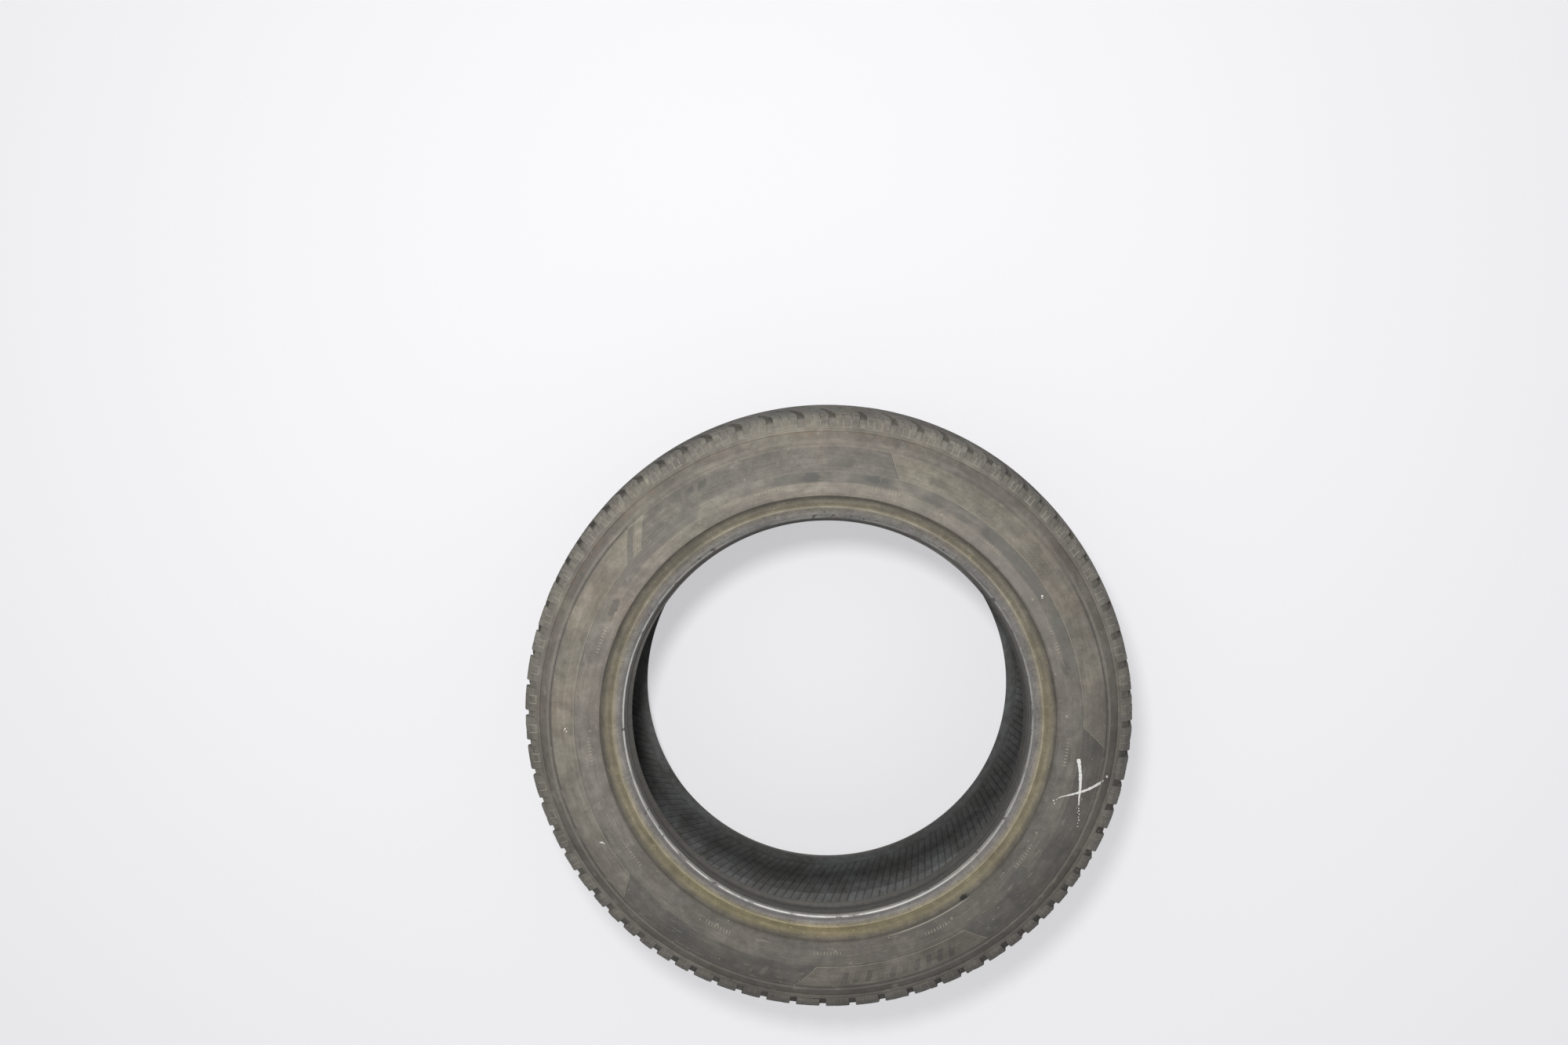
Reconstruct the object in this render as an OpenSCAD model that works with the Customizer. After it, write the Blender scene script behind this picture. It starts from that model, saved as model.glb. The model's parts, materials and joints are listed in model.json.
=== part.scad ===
// A worn, directional winter tyre for a 16 inch rim, lying flat on its side.
// The wheel axis is +Z, the rest plane is z = 0, and the outboard side faces up.
// The section is drawn as [radius, distance from the middle plane] and turned about the axis.

/* [Overall] */
// Outside diameter over the worn tread
outer_d = 622; // [580:1:780]
// Width across the two sidewalls
section_w = 206; // [190:1:260]

/* [Bead] */
// Diameter of the two bead seats
seat_d = 404.8; // [330:0.1:440]
// Width over the two bead heels
heel_w = 173; // [144:1:186]
// Straight length of each bead seat
seat_len = 9; // [5:0.5:12]
// Rounding between the seat and the outer face of the bead
heel_round = 6; // [3:0.5:8]
// Slanted length between the seat and the toe
toe_len = 4.5; // [3:0.5:7]
// How far the toe stands in from the seat
toe_drop = 3.8; // [2:0.1:6]

/* [Sidewall] */
// Height of the rim line above the seat
rim_line_h = 12.4; // [9:0.1:16]
// How far the rim line stands out
rim_line_out = 1; // [0.5:0.1:2]
// Height of the rim guard's step above the seat
guard_h = 23.5; // [20:0.5:28]
// Radial width of the rim guard's crest
guard_w = 3.5; // [2:0.5:6]
// How far the rim guard stands out of the sidewall
guard_out = 1.6; // [0.8:0.1:2.4]
// Hollow of the channel between the rim line and the guard
channel_sag = 1.8; // [0:0.1:3]
// Height of the widest part of the sidewall above the seat
widest_h = 48; // [40:1:60]
// Flat width of the widest part
widest_w = 8; // [4:1:12]
// Rubber and cord thickness at the widest part
wall_t = 9; // [6:0.5:12]
// Height of the shoulder rib below the crown
rib_drop = 22; // [16:0.5:26]
// Radial width of the shoulder rib
rib_w = 2.6; // [1.5:0.1:4]
// How far the shoulder rib stands out
rib_out = 0.9; // [0.5:0.1:1.5]

/* [Tread] */
// Width of the tread between its two edges
tread_w = 160; // [140:1:192]
// Drop from the crown to the tread edge
edge_drop = 6; // [4:0.5:9]
// Radial height of the worn bevel that leads from the tread edge to the shoulder
bevel_h = 8; // [5:0.5:9]
// Width of that bevel along the axis
bevel_w = 6; // [3:0.5:7]
// Depth left in the grooves
groove_depth = 4.6; // [2:0.1:8]
// Rubber and belts under the grooves
under_t = 10; // [8:0.5:14]
// Number of tread blocks round each shoulder
pitch_count = 72; // [50:1:80]
// How much longer the longest block is than the shortest, as a share
pitch_spread = 0.34; // [0:0.02:0.5]
// How often the blocks swell from short to long and back in one turn
pitch_waves = 4; // [1:1:8]
// Width of the two grooves that run round the tread
ring_groove_w = 6; // [4:0.5:9]
// Distance of those grooves from the middle plane
ring_groove_pos = 34; // [26:1:42]
// Width of the cross grooves at the shoulder
cross_w = 7; // [4:0.5:9]
// Width of the cross grooves near the middle
middle_w = 4.5; // [3:0.5:7]
// Sweep of the cross grooves at the shoulder, from the axis
shoulder_sweep = 22; // [0:1:28]
// Sweep of the cross grooves near the middle, from the axis
middle_sweep = 46; // [25:1:52]
// Half the width of the unbroken rib round the middle
middle_rib = 7; // [4:0.5:10]
// Width of the two narrow grooves beside that rib
rib_groove_w = 2.4; // [1.5:0.1:4]

/* [Hidden] */
$fn = 180;

shoulder_swell = 0.5;   // how much wider the tyre is at the shoulder rib than at the bevel's foot
guard_fall = 4;         // how much narrower the tyre is at the guard than at its widest
guard_slant = 1;        // radial run of the guard's step
rim_line_share = 0.3;   // how far the rim line lies from the heel's width to the guard's
guard_rise = 0.6;       // how much the guard's crest slants outwards
rib_slant = 0.4;        // radial run of each side of the shoulder rib
toe_flat = 1.2;         // blunt end of the toe
liner_flat = 48;        // half width of the level part of the liner
toe_power = 1.45;       // how fully the liner swells above the toe
edge_round = 1;         // rounding of the tread edge
crown_steps = 4;        // straight lengths in each half of the crown
wall_steps = 6;         // straight lengths in each stretch of the sidewall
heel_steps = 4;         // straight lengths in the rounding of the heel
liner_steps = 8;        // straight lengths in each stretch of the liner

crown_r = outer_d / 2;
seat_r = seat_d / 2;
half_w = section_w / 2;
heel_x = heel_w / 2;
seat_x1 = heel_x - heel_round;
seat_x0 = seat_x1 - seat_len;
toe_x = seat_x0 - toe_len;

widest_r = seat_r + widest_h;
guard_r = seat_r + guard_h;
rim_line_r = seat_r + rim_line_h;
rib_r = crown_r - rib_drop;
edge_r = crown_r - edge_drop;
edge_x = tread_w / 2;
bevel_foot_x = edge_x + bevel_w;
rib_x = bevel_foot_x + shoulder_swell;
liner_r = crown_r - groove_depth - under_t;
liner_x = half_w - wall_t;

function mix(a, b, t) = a + (b - a) * t;

// The sidewall bulges from the guard to the widest band, then falls to the shoulder rib.
function bulge_low(t) =
    [mix(guard_r, widest_r - widest_w / 2, t), half_w - guard_fall * (1 - t) * (1 - t)];
function bulge_high(t) =
    [mix(widest_r + widest_w / 2, rib_r, t), half_w - (half_w - rib_x) * t * t];

guard_foot_x = half_w - guard_fall - guard_out;

// The channel is a shallow hollow between the rim line and the guard.
rim_line_x = mix(heel_x, half_w - guard_fall, rim_line_share);
function channel(t) =
    [mix(rim_line_r + 2 * rim_line_out, guard_r, t),
     mix(rim_line_x, guard_foot_x, t) - channel_sag * sin(180 * t)];

// The crown is an arc that drops to the tread edge on each side.
crown_arc_r = (edge_x * edge_x + edge_drop * edge_drop) / (2 * edge_drop);
function crown_at(x) = crown_r - crown_arc_r + sqrt(crown_arc_r * crown_arc_r - x * x);

bead_pts = concat(
    [[seat_r - toe_drop, toe_x - toe_flat], [seat_r - toe_drop, toe_x],
     [seat_r, seat_x0], [seat_r, seat_x1]],
    [for (a = [90 / heel_steps : 90 / heel_steps : 90])
        [seat_r + heel_round * (1 - cos(a)), seat_x1 + heel_round * sin(a)]]);

rim_line_pts = [
    [rim_line_r - 2 * rim_line_out, rim_line_x - rim_line_out],
    [rim_line_r, rim_line_x + rim_line_out]];

guard_x = half_w - guard_fall + guard_out;
guard_pts = [
    [guard_r + guard_slant, guard_x],
    [guard_r + guard_slant + guard_w, guard_x + guard_rise]];

rib_pts = [
    [rib_r + rib_slant, rib_x + rib_out],
    [rib_r + rib_w - rib_slant, rib_x + rib_out],
    [rib_r + rib_w, rib_x]];

// The worn bevel leads up to the tread edge, then the crown rises to the middle plane.
tread_pts = concat(
    [[edge_r - bevel_h, bevel_foot_x], [edge_r - edge_round, edge_x + edge_round * bevel_w / bevel_h],
     [crown_at(edge_x - edge_round), edge_x - edge_round]],
    [for (k = [crown_steps - 1 : -1 : 1]) [crown_at(edge_x * k / crown_steps), edge_x * k / crown_steps]]);

outside = concat(
    bead_pts, rim_line_pts,
    [for (k = [0 : wall_steps]) channel(k / wall_steps)],
    guard_pts,
    [for (k = [wall_steps / 2 : wall_steps]) bulge_low(k / wall_steps)],
    [for (k = [0 : wall_steps]) bulge_high(k / wall_steps)],
    rib_pts, tread_pts);

// The liner runs level under the tread, turns down the sidewall and ends at the toe.
inside = concat(
    [for (a = [90 : -90 / liner_steps : 0])
        [mix(widest_r, liner_r, sin(a)), mix(liner_flat, liner_x, cos(a))]],
    [for (k = [1 : liner_steps - 1])
        [mix(widest_r, seat_r - toe_drop + toe_flat, k / liner_steps),
         mix(liner_x, toe_x - toe_flat, pow(k / liner_steps, toe_power))]]);

function mirrored(pts) = [for (k = [len(pts) - 1 : -1 : 0]) [pts[k][0], -pts[k][1]]];

// Blocks come in three lengths, in runs, as real ones do to keep the tread quiet.
function block_len(i) =
    1 + pitch_spread / 2 * round(cos(360 * pitch_waves * (i + 0.5) / pitch_count));
function total_to(i) = i == 0 ? 0 : total_to(i - 1) + block_len(i - 1);
pitch_scale = 360 / total_to(pitch_count);
longest_at = 5;         // where the first run of long blocks is, in degrees round the axis

// A cross groove lags further behind its shoulder end, the nearer it comes to the middle.
cut_r = crown_r + 5;                // how far out the cutters reach
edge_depth = groove_depth - 1;      // the grooves are shallower at the tread edge
bevel_out = 1;                      // how far they run past the bevel's foot
edge_floor_r = edge_r - edge_depth;
end_x = bevel_foot_x + bevel_out;
end_r = edge_floor_r - (bevel_w + bevel_out) * bevel_h / bevel_w;
function floor_at(x) = crown_at(x) - groove_depth;
ring_lag = (edge_x - ring_groove_pos) * tan(shoulder_sweep);
middle_lag = (ring_groove_pos - middle_rib) * tan(middle_sweep);

module ring_cut(x, w) {
    translate([floor_at(x), x - w / 2])
        square([cut_r - floor_at(x), w]);
}

// The section of the whole tyre, with its four ring grooves cut in.
module section() {
    difference() {
        polygon(concat(outside, [[crown_r, 0]], mirrored(outside), mirrored(inside), inside));
        for (side = [-1, 1]) {
            ring_cut(side * ring_groove_pos, ring_groove_w);
            ring_cut(side * (middle_rib + rib_groove_w / 2), rib_groove_w);
        }
    }
}

// A straight groove cutter. Its floor runs through the given [distance from the middle plane,
// radius] points. It leans by the sweep angle, and its middle lags by a length of the tread.
module cutter(floor_pts, lag, sweep, w) {
    x0 = floor_pts[0][0];
    x1 = floor_pts[len(floor_pts) - 1][0];
    mid = (x0 + x1) / 2;
    outline = concat([[x0, cut_r]], floor_pts, [[x1, cut_r]]);
    rotate([0, 0, lag / crown_r * 180 / PI])
        translate([0, 0, mid])
            rotate([sweep, 0, 0])
                rotate([-90, -90, 0])
                    linear_extrude(w, center = true)
                        polygon([for (p = outline) [(p[0] - mid) / cos(sweep), p[1]]]);
}

module cross_groove() {
    cutter([[ring_groove_pos, floor_at(ring_groove_pos)], [edge_x, edge_floor_r], [end_x, end_r]],
        ring_lag / 2, shoulder_sweep, cross_w);
    cutter([[middle_rib + rib_groove_w / 2, floor_at(middle_rib)], [ring_groove_pos, floor_at(ring_groove_pos)]],
        ring_lag + middle_lag / 2, middle_sweep, middle_w);
}

module cross_grooves() {
    for (i = [0 : pitch_count - 1])
        rotate([0, 0, longest_at + pitch_scale * total_to(i)])
            cross_groove();
}

module tyre() {
    color("dimgray")
        translate([0, 0, half_w])
            difference() {
                rotate_extrude()
                    section();
                cross_grooves();
                rotate([0, 0, pitch_scale / 2])
                    mirror([0, 0, 1])
                        cross_grooves();
            }
}

tyre();
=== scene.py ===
# The looks of an old worn winter tyre that lies flat. Its axis is +Z and its outboard wall faces up.
# The tyre's sizes are in millimetres and degrees. The camera, the lamp and the floor are in metres.
import json
import math
import random

import bmesh
import bpy
from mathutils import Matrix, Vector, noise


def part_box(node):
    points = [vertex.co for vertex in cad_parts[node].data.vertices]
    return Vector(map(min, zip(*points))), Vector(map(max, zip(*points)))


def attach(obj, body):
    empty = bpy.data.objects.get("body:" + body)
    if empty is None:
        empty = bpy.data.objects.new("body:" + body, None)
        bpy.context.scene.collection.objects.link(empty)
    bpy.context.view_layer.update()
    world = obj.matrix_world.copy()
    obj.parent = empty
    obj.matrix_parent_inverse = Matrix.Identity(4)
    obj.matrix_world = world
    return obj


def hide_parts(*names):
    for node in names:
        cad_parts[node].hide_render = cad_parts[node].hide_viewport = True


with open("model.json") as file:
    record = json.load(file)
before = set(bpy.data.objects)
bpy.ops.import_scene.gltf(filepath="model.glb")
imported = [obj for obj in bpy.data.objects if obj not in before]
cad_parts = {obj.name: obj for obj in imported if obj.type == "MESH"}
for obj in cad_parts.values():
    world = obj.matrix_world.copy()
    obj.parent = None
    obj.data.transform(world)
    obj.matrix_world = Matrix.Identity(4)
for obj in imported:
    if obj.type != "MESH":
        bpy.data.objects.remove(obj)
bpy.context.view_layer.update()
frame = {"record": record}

MM = 0.001


# ------------------------------------------------------------------ sizes, in millimetres
TYRE_LOW, TYRE_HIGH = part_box("tyre")
CROWN_R = round((TYRE_HIGH.x - TYRE_LOW.x) / 2 / MM)
HALF_W = round((TYRE_HIGH.z - TYRE_LOW.z) / 2 / MM)
OUTBOARD_SEAT = next(m for m in frame["record"]["mounts"] if m["name"] == "outboard_seat")
SEAT_R = OUTBOARD_SEAT["dims"]["r_mm"]
SEAT_LEN = OUTBOARD_SEAT["dims"]["length_mm"]
SEAT_MID = OUTBOARD_SEAT["pos_m"][2] / MM - HALF_W

HEEL_X = 86.5           # half the width over the bead heels
HEEL_ROUND = 6
TOE_R = SEAT_R - 3.8
TOE_X = 67
TOE_FLAT = 1.2
RIM_LINE_R = SEAT_R + 12.4
RIM_LINE_X = 90.25
CHANNEL_SAG = 1.8
GUARD_R = SEAT_R + 23.5
GUARD_FOOT_X = 97.4
GUARD_X = 100.6
GUARD_W = 3.5
GUARD_TOP_R = GUARD_R + GUARD_W + 1.6
WIDEST_R = SEAT_R + 48
WIDEST_HALF = 4
GUARD_FALL = 4          # how much narrower the wall is at the guard than at its widest
WALL_SINK = 0.4         # room that the wall leaves for its raised lines
RIB_R = CROWN_R - 22    # the shoulder rib
RIB_W = 2.6
RIB_OUT = 0.9
RIB_X = 86.5
EDGE_DROP = 6           # from the crown to the worn tread edge
EDGE_R = CROWN_R - EDGE_DROP
EDGE_X = 80
BEVEL_FOOT_R = EDGE_R - 8
BEVEL_FOOT_X = EDGE_X + 6
CROWN_ARC = (EDGE_X ** 2 + EDGE_DROP ** 2) / (2 * EDGE_DROP)
GROOVE_DEPTH = 4.6
EDGE_DEPTH = 3.6
GROOVE_SLOPE_R = 297.4  # halfway down the slope of a cross groove's floor, over the bevel
GROOVE_SLOPE_X = 83.1
GROOVE_END_R = 293.2    # where the cross grooves run out into the wall
GROOVE_END_X = 86.2
UNDER_T = 10            # rubber and belts under the grooves
WALL_T = 9              # rubber and cords in the wall
LINER_R = CROWN_R - GROOVE_DEPTH - UNDER_T
LINER_X = HALF_W - WALL_T
LINER_FLAT = 48
LINER_SWELL = 1.45      # how fully the liner swells above the toe
RING_GROOVE_X = 34
RING_GROOVE_W = 6
RIB_GROOVE_W = 2.4
MIDDLE_RIB = 7
CROSS_W = 7
MIDDLE_W = 4.5
PITCHES = 72
PITCH_SPREAD = 0.34
PITCH_WAVES = 4
LONGEST_AT = 5          # where the first run of long blocks begins, in degrees round the axis
SWEEP_BEND = 0.00879    # how fast a cross groove bends away from the axis
SIPE_W = 0.55
WORN_CORNER = 0.5       # chamfer on the edges of the tread blocks

# Dull panels on the wall: where each begins and ends, in degrees, at its outer and inner edge.
PANEL_OUT_R = 274.5
PANEL_IN_R = 252.5
HATCHING_STEP = 1.5
PANELS = [(-5, -0.5, 77, 74), (131, 136.3, 133.5, 138.6), (135.5, 141, 221.5, 218),
          (263.5, 267.5, 306, 303)]

# The two ring lines near the shoulder, and the stretch of the turn that they run along.
LINE_GROOVE_R = 277.1
LINE_RIDGE_R = 280
LINES_START = 131
LINES_LENGTH = 262
LINE_HEIGHT = 0.6
PANEL_SINK = 0.22       # how far the dull panels lie below the wall
WALL_WAVER = 0.12       # how unevenly the old wall has settled
DUST_AND_LIGHT_SIDE = math.radians(112)  # the way round to where the most dust lies and the painted light is brightest

# Dark smudges on the wall: azimuth in degrees, radius, half width and half length.
SMUDGES = [(93.5, 245, 6, 11), (79, 247, 4, 15), (66, 262, 5, 12), (118, 268, 4, 18), (151, 240, 4, 12),
           (236, 262, 7, 12), (321, 246, 8, 16), (14, 240, 4, 10)]

# Plain slanted bars and short dashes moulded on the wall: first and last azimuth, and how many.
BAR_ROWS = [(86, 126, 13), (246, 262, 6), (272, 299, 10)]
BAR_R = 265
DASH_GROUPS = 13
DASH_R = 238
DASHES_START = 7
VENTS = 12              # vent stubs and mould lines, each this many round the wall
VENT_R = 236
VENTS_START = -13
MOULD_LINE_R = 248
MOULD_LINES_START = 3
LINER_RIBS = 176
LINER_RIB_R = 270
FOOT = -0.25            # how deep the foot of a raised line sits in the wall


# ------------------------------------------------------------------ the section
def spread(first, last, count):
    """Evenly spaced numbers from first to last."""
    return [first + (last - first) * k / count for k in range(count + 1)]


def crown_at(x):
    """Radius of the worn tread at a distance from the middle."""
    return CROWN_R - CROWN_ARC + math.sqrt(CROWN_ARC ** 2 - x * x)


def floor_at(x):
    """Radius of the groove floor at a distance from the middle."""
    shallower = max(0, x - RING_GROOVE_X) / (EDGE_X - RING_GROOVE_X)
    return crown_at(x) - GROOVE_DEPTH + shallower * (GROOVE_DEPTH - EDGE_DEPTH)


def wall_at(r):
    """How far out the wall stands at a radius between the guard and the shoulder rib."""
    if r > WIDEST_R + WIDEST_HALF:
        share = (r - WIDEST_R - WIDEST_HALF) / (RIB_R - WIDEST_R - WIDEST_HALF)
        x = HALF_W - (HALF_W - RIB_X) * share ** 2
    elif r > WIDEST_R - WIDEST_HALF:
        x = HALF_W
    else:
        share = (r - GUARD_R) / (WIDEST_R - WIDEST_HALF - GUARD_R)
        x = HALF_W - GUARD_FALL * (1 - share) ** 2
    return x - WALL_SINK * min(1, (RIB_R - r) / 8)


def wall_points(radii):
    return [(r, wall_at(r)) for r in radii]


def shoulder_points():
    """The shoulder rib, from its outer side to its foot."""
    return [
        (RIB_R + RIB_W, RIB_X), (RIB_R + RIB_W - 0.3, RIB_X + RIB_OUT - 0.15),
        (RIB_R + RIB_W - 0.7, RIB_X + RIB_OUT), (RIB_R + 0.7, RIB_X + RIB_OUT),
        (RIB_R + 0.3, RIB_X + RIB_OUT - 0.15), (RIB_R, RIB_X)]


def guard_points():
    """The rim guard's crest and the sharp step below it."""
    return [
        (GUARD_TOP_R, GUARD_X + 0.7), (GUARD_R + GUARD_W + 1, GUARD_X + 0.6),
        (GUARD_R + 2, GUARD_X + 0.2), (GUARD_R + 1.3, GUARD_X + 0.05), (GUARD_R + 0.9, GUARD_X - 0.4),
        (GUARD_R + 0.15, GUARD_FOOT_X + 0.4), (GUARD_R, GUARD_FOOT_X)]


def bead_points():
    """From the channel below the guard, over the rim line and the heel, to the toe."""
    points = []
    for share in spread(0.95, 0, 9):
        r = RIM_LINE_R + 2 + (GUARD_R - RIM_LINE_R - 2) * share
        x = RIM_LINE_X + (GUARD_FOOT_X - RIM_LINE_X) * share
        points.append((r, x - CHANNEL_SAG * math.sin(math.pi * share)))
    points += [
        (RIM_LINE_R + 1.3, RIM_LINE_X + 0.45), (RIM_LINE_R + 0.6, RIM_LINE_X + 0.9),
        (RIM_LINE_R, RIM_LINE_X + 1), (RIM_LINE_R - 0.6, RIM_LINE_X + 0.7),
        (RIM_LINE_R - 1.3, RIM_LINE_X - 0.2), (RIM_LINE_R - 2, RIM_LINE_X - 1)]
    heel_r = SEAT_R + HEEL_ROUND
    points += [(heel_r + 2.4, HEEL_X + 0.9), (heel_r + 1, HEEL_X + 0.35)]
    for turn in spread(90, 0, 8):
        a = math.radians(turn)
        points.append((SEAT_R + HEEL_ROUND * (1 - math.cos(a)), HEEL_X - HEEL_ROUND * (1 - math.sin(a))))
    points += [
        (SEAT_R, SEAT_MID), (SEAT_R, SEAT_MID - SEAT_LEN / 2), (SEAT_R - 1.6, TOE_X + 2),
        (TOE_R + 0.3, TOE_X + 0.5), (TOE_R, TOE_X), (TOE_R, TOE_X - TOE_FLAT + 0.3)]
    return points


def liner_points(steps):
    """The inner wall, from the toe up to the middle of the tread."""
    points = [(TOE_R + 0.3, TOE_X - TOE_FLAT - 0.1)]
    for share in spread(0.93, 0, steps)[:-1]:
        r = WIDEST_R + (TOE_R + TOE_FLAT - WIDEST_R) * share
        points.append((r, LINER_X + (TOE_X - TOE_FLAT - LINER_X) * share ** LINER_SWELL))
    for turn in spread(0, 90, steps):
        a = math.radians(turn)
        points.append((WIDEST_R + (LINER_R - WIDEST_R) * math.sin(a),
                       LINER_FLAT + (LINER_X - LINER_FLAT) * math.cos(a)))
    points += [(LINER_R, x) for x in spread(LINER_FLAT, 0, 4)[1:]]
    return points


def block_points():
    """The outer face of the tread blocks, from the middle of the tread to the buttress."""
    points = [(crown_at(x), x) for x in spread(0, EDGE_X - 1.5, 30)]
    points += [
        (EDGE_R - 0.25, EDGE_X - 0.2), (EDGE_R - 0.9, EDGE_X + 0.55),
        (BEVEL_FOOT_R + 0.6, BEVEL_FOOT_X - 0.5), (BEVEL_FOOT_R - 0.5, BEVEL_FOOT_X + 0.05)]
    return points


class Path:
    """A line of the section as (radius, distance from the middle), with the length along it."""

    def __init__(self, points):
        self.points = points
        self.along = [0.0]
        for a, b in zip(points, points[1:]):
            self.along.append(self.along[-1] + math.dist(a, b))

    def _where(self, axis, value, rising):
        for k in range(len(self.points) - 1):
            a = self.points[k][axis]
            b = self.points[k + 1][axis]
            if (a <= value <= b) if rising else (b <= value <= a):
                share = (value - a) / (b - a) if b != a else 0
                return self.along[k] + share * (self.along[k + 1] - self.along[k])
        raise ValueError(f"the path never passes {value}")

    def at_x(self, x):
        return self._where(1, x, True)

    def at_r(self, r):
        return self._where(0, r, False)

    def point(self, along):
        """The point at a length along the path, and the outward normal there."""
        k = 0
        while k < len(self.points) - 2 and self.along[k + 1] < along:
            k += 1
        a, b = self.points[k], self.points[k + 1]
        step = self.along[k + 1] - self.along[k]
        share = (along - self.along[k]) / step
        out = ((b[1] - a[1]) / step, -(b[0] - a[0]) / step)
        return (a[0] + (b[0] - a[0]) * share, a[1] + (b[1] - a[1]) * share), out

    def curve(self, name):
        """The same line as a curve object, in metres, for the wrapping tree to read."""
        data = bpy.data.curves.new(name, "CURVE")
        data.dimensions = "3D"
        spline = data.splines.new("POLY")
        spline.points.add(len(self.points) - 1)
        for knot, (r, x) in zip(spline.points, self.points):
            knot.co = (r * MM, 0, x * MM, 1)
        line = bpy.data.objects.new(name, data)
        bpy.context.scene.collection.objects.link(line)
        return line


# The wall's rings, close together where the two ring lines and the ends of the dull panels run.
WALL_RADII = spread(RIB_R - 1, 283, 3) + [
    282, 281.4, 281, 280.6, 279.2, 278.8, 278.3, 277.6, 277.1, 276.6, 276.1, 275.5] + spread(
    274, 254, 9) + [252.8, 252.2, 251.6, 250.4] + spread(247.5, 233.5, 5)
BLOCK_LINE = block_points()
WALL_LINE = shoulder_points() + wall_points(WALL_RADII) + guard_points() + bead_points()
SKIN = Path(BLOCK_LINE + WALL_LINE)
LINER = Path([(r, x) for r, x in reversed(liner_points(14))])
MIDDLE = Path([(crown_at(x), x) for x in spread(-MIDDLE_RIB, MIDDLE_RIB, 8)])


# ------------------------------------------------------------------ meshes
def new_piece(name, mesh):
    piece = bpy.data.objects.new(name, mesh)
    bpy.context.scene.collection.objects.link(piece)
    return piece


def on_round(r, azimuth, x):
    """A place in metres from its radius, its azimuth in degrees and its distance from the middle."""
    a = math.radians(azimuth)
    return Vector((r * math.cos(a) * MM, r * math.sin(a) * MM, (HALF_W + x) * MM))


def rise(value, start, end):
    """Smooth step from 0 at start to 1 at end."""
    share = min(1, max(0, (value - start) / (end - start)))
    return share * share * (3 - 2 * share)


def hump(value, centre, half):
    return max(0, 1 - abs(value - centre) / half)


def wall_relief(azimuth, r):
    """How far the wall stands out of its smooth section, in millimetres."""
    past = (azimuth - LINES_START) % 360
    lines_on = rise(past, 0, 5) * (1 - rise(past, LINES_LENGTH - 8, LINES_LENGTH))
    height = lines_on * LINE_HEIGHT * (hump(r, LINE_RIDGE_R, 1.1) - hump(r, LINE_GROOVE_R, 1))
    for out_start, in_start, out_end, in_end in PANELS:
        inward = (PANEL_OUT_R - r) / (PANEL_OUT_R - PANEL_IN_R)
        start = out_start + (in_start - out_start) * inward
        end = out_end + (in_end - out_end) * inward
        past = (azimuth - start) % 360
        if past < end - start:
            inside = min(rise(past, 0, 1), rise(end - start - past, 0, 1))
            inside *= rise(r, PANEL_IN_R - 0.5, PANEL_IN_R + 0.5)
            inside *= 1 - rise(r, PANEL_OUT_R - 0.5, PANEL_OUT_R + 1)
            height -= PANEL_SINK * inside
    a = math.radians(azimuth)
    return height + WALL_WAVER * noise.noise(Vector((math.cos(a) * 9, math.sin(a) * 9, r / 22)))


CARCASS_COLUMNS = 432
CREASE_ANGLE = 32       # edges that bend by more than this stay sharp, in degrees


def carcass_rings(wall_radii, liner_steps):
    """One half of the carcass section from the middle of the groove floor round to the liner."""
    rings = [(floor_at(x), x, "groove") for x in spread(0, EDGE_X - 2, 12)]
    rings += [(EDGE_R - EDGE_DEPTH, EDGE_X, "groove"), (GROOVE_SLOPE_R, GROOVE_SLOPE_X, "groove")]
    rings += [(GROOVE_END_R, GROOVE_END_X, "wall")]
    rings += [(r, x, "wall") for r, x in shoulder_points()]
    rings += [(r, x, "wall") for r, x in wall_points(wall_radii) + guard_points() + bead_points()]
    rings += [(r, x, "liner") for r, x in liner_points(liner_steps)]
    return rings


def turned_carcass(finishes):
    outboard = carcass_rings(WALL_RADII, 12)
    inboard = carcass_rings(WALL_RADII[::2] + WALL_RADII[-1:], 8)
    loop = outboard[:-1] + [(LINER_R, 0, "liner")]
    for k in range(len(inboard) - 2, 0, -1):
        loop.append((inboard[k][0], -inboard[k][1], inboard[k - 1][2]))
    points = []
    for r, x, kind in loop:
        on_wall = kind == "wall" and GUARD_TOP_R < r < RIB_R
        for column in range(CARCASS_COLUMNS):
            azimuth = column * 360 / CARCASS_COLUMNS
            out = wall_relief(azimuth, r) * (1 if x > 0 else -1) if on_wall else 0
            points.append(on_round(r, azimuth, x + out))
    faces = []
    kinds = []
    names = ["wall", "groove", "liner"]
    for ring in range(len(loop)):
        after = (ring + 1) % len(loop)
        for column in range(CARCASS_COLUMNS):
            beside = (column + 1) % CARCASS_COLUMNS
            faces.append((
                ring * CARCASS_COLUMNS + column, ring * CARCASS_COLUMNS + beside,
                after * CARCASS_COLUMNS + beside, after * CARCASS_COLUMNS + column))
            kinds.append(names.index(loop[ring][2]))
    mesh = bpy.data.meshes.new("tyre_carcass")
    mesh.from_pydata(points, [], faces)
    for finish in finishes:
        mesh.materials.append(finish)
    mesh.polygons.foreach_set("material_index", kinds)
    shell = bmesh.new()
    shell.from_mesh(mesh)
    bmesh.ops.recalc_face_normals(shell, faces=shell.faces)
    shell.to_mesh(mesh)
    shell.free()
    mesh.shade_smooth()
    mesh.set_sharp_from_angle(angle=math.radians(CREASE_ANGLE))
    return new_piece("tyre_carcass", mesh)


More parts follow.
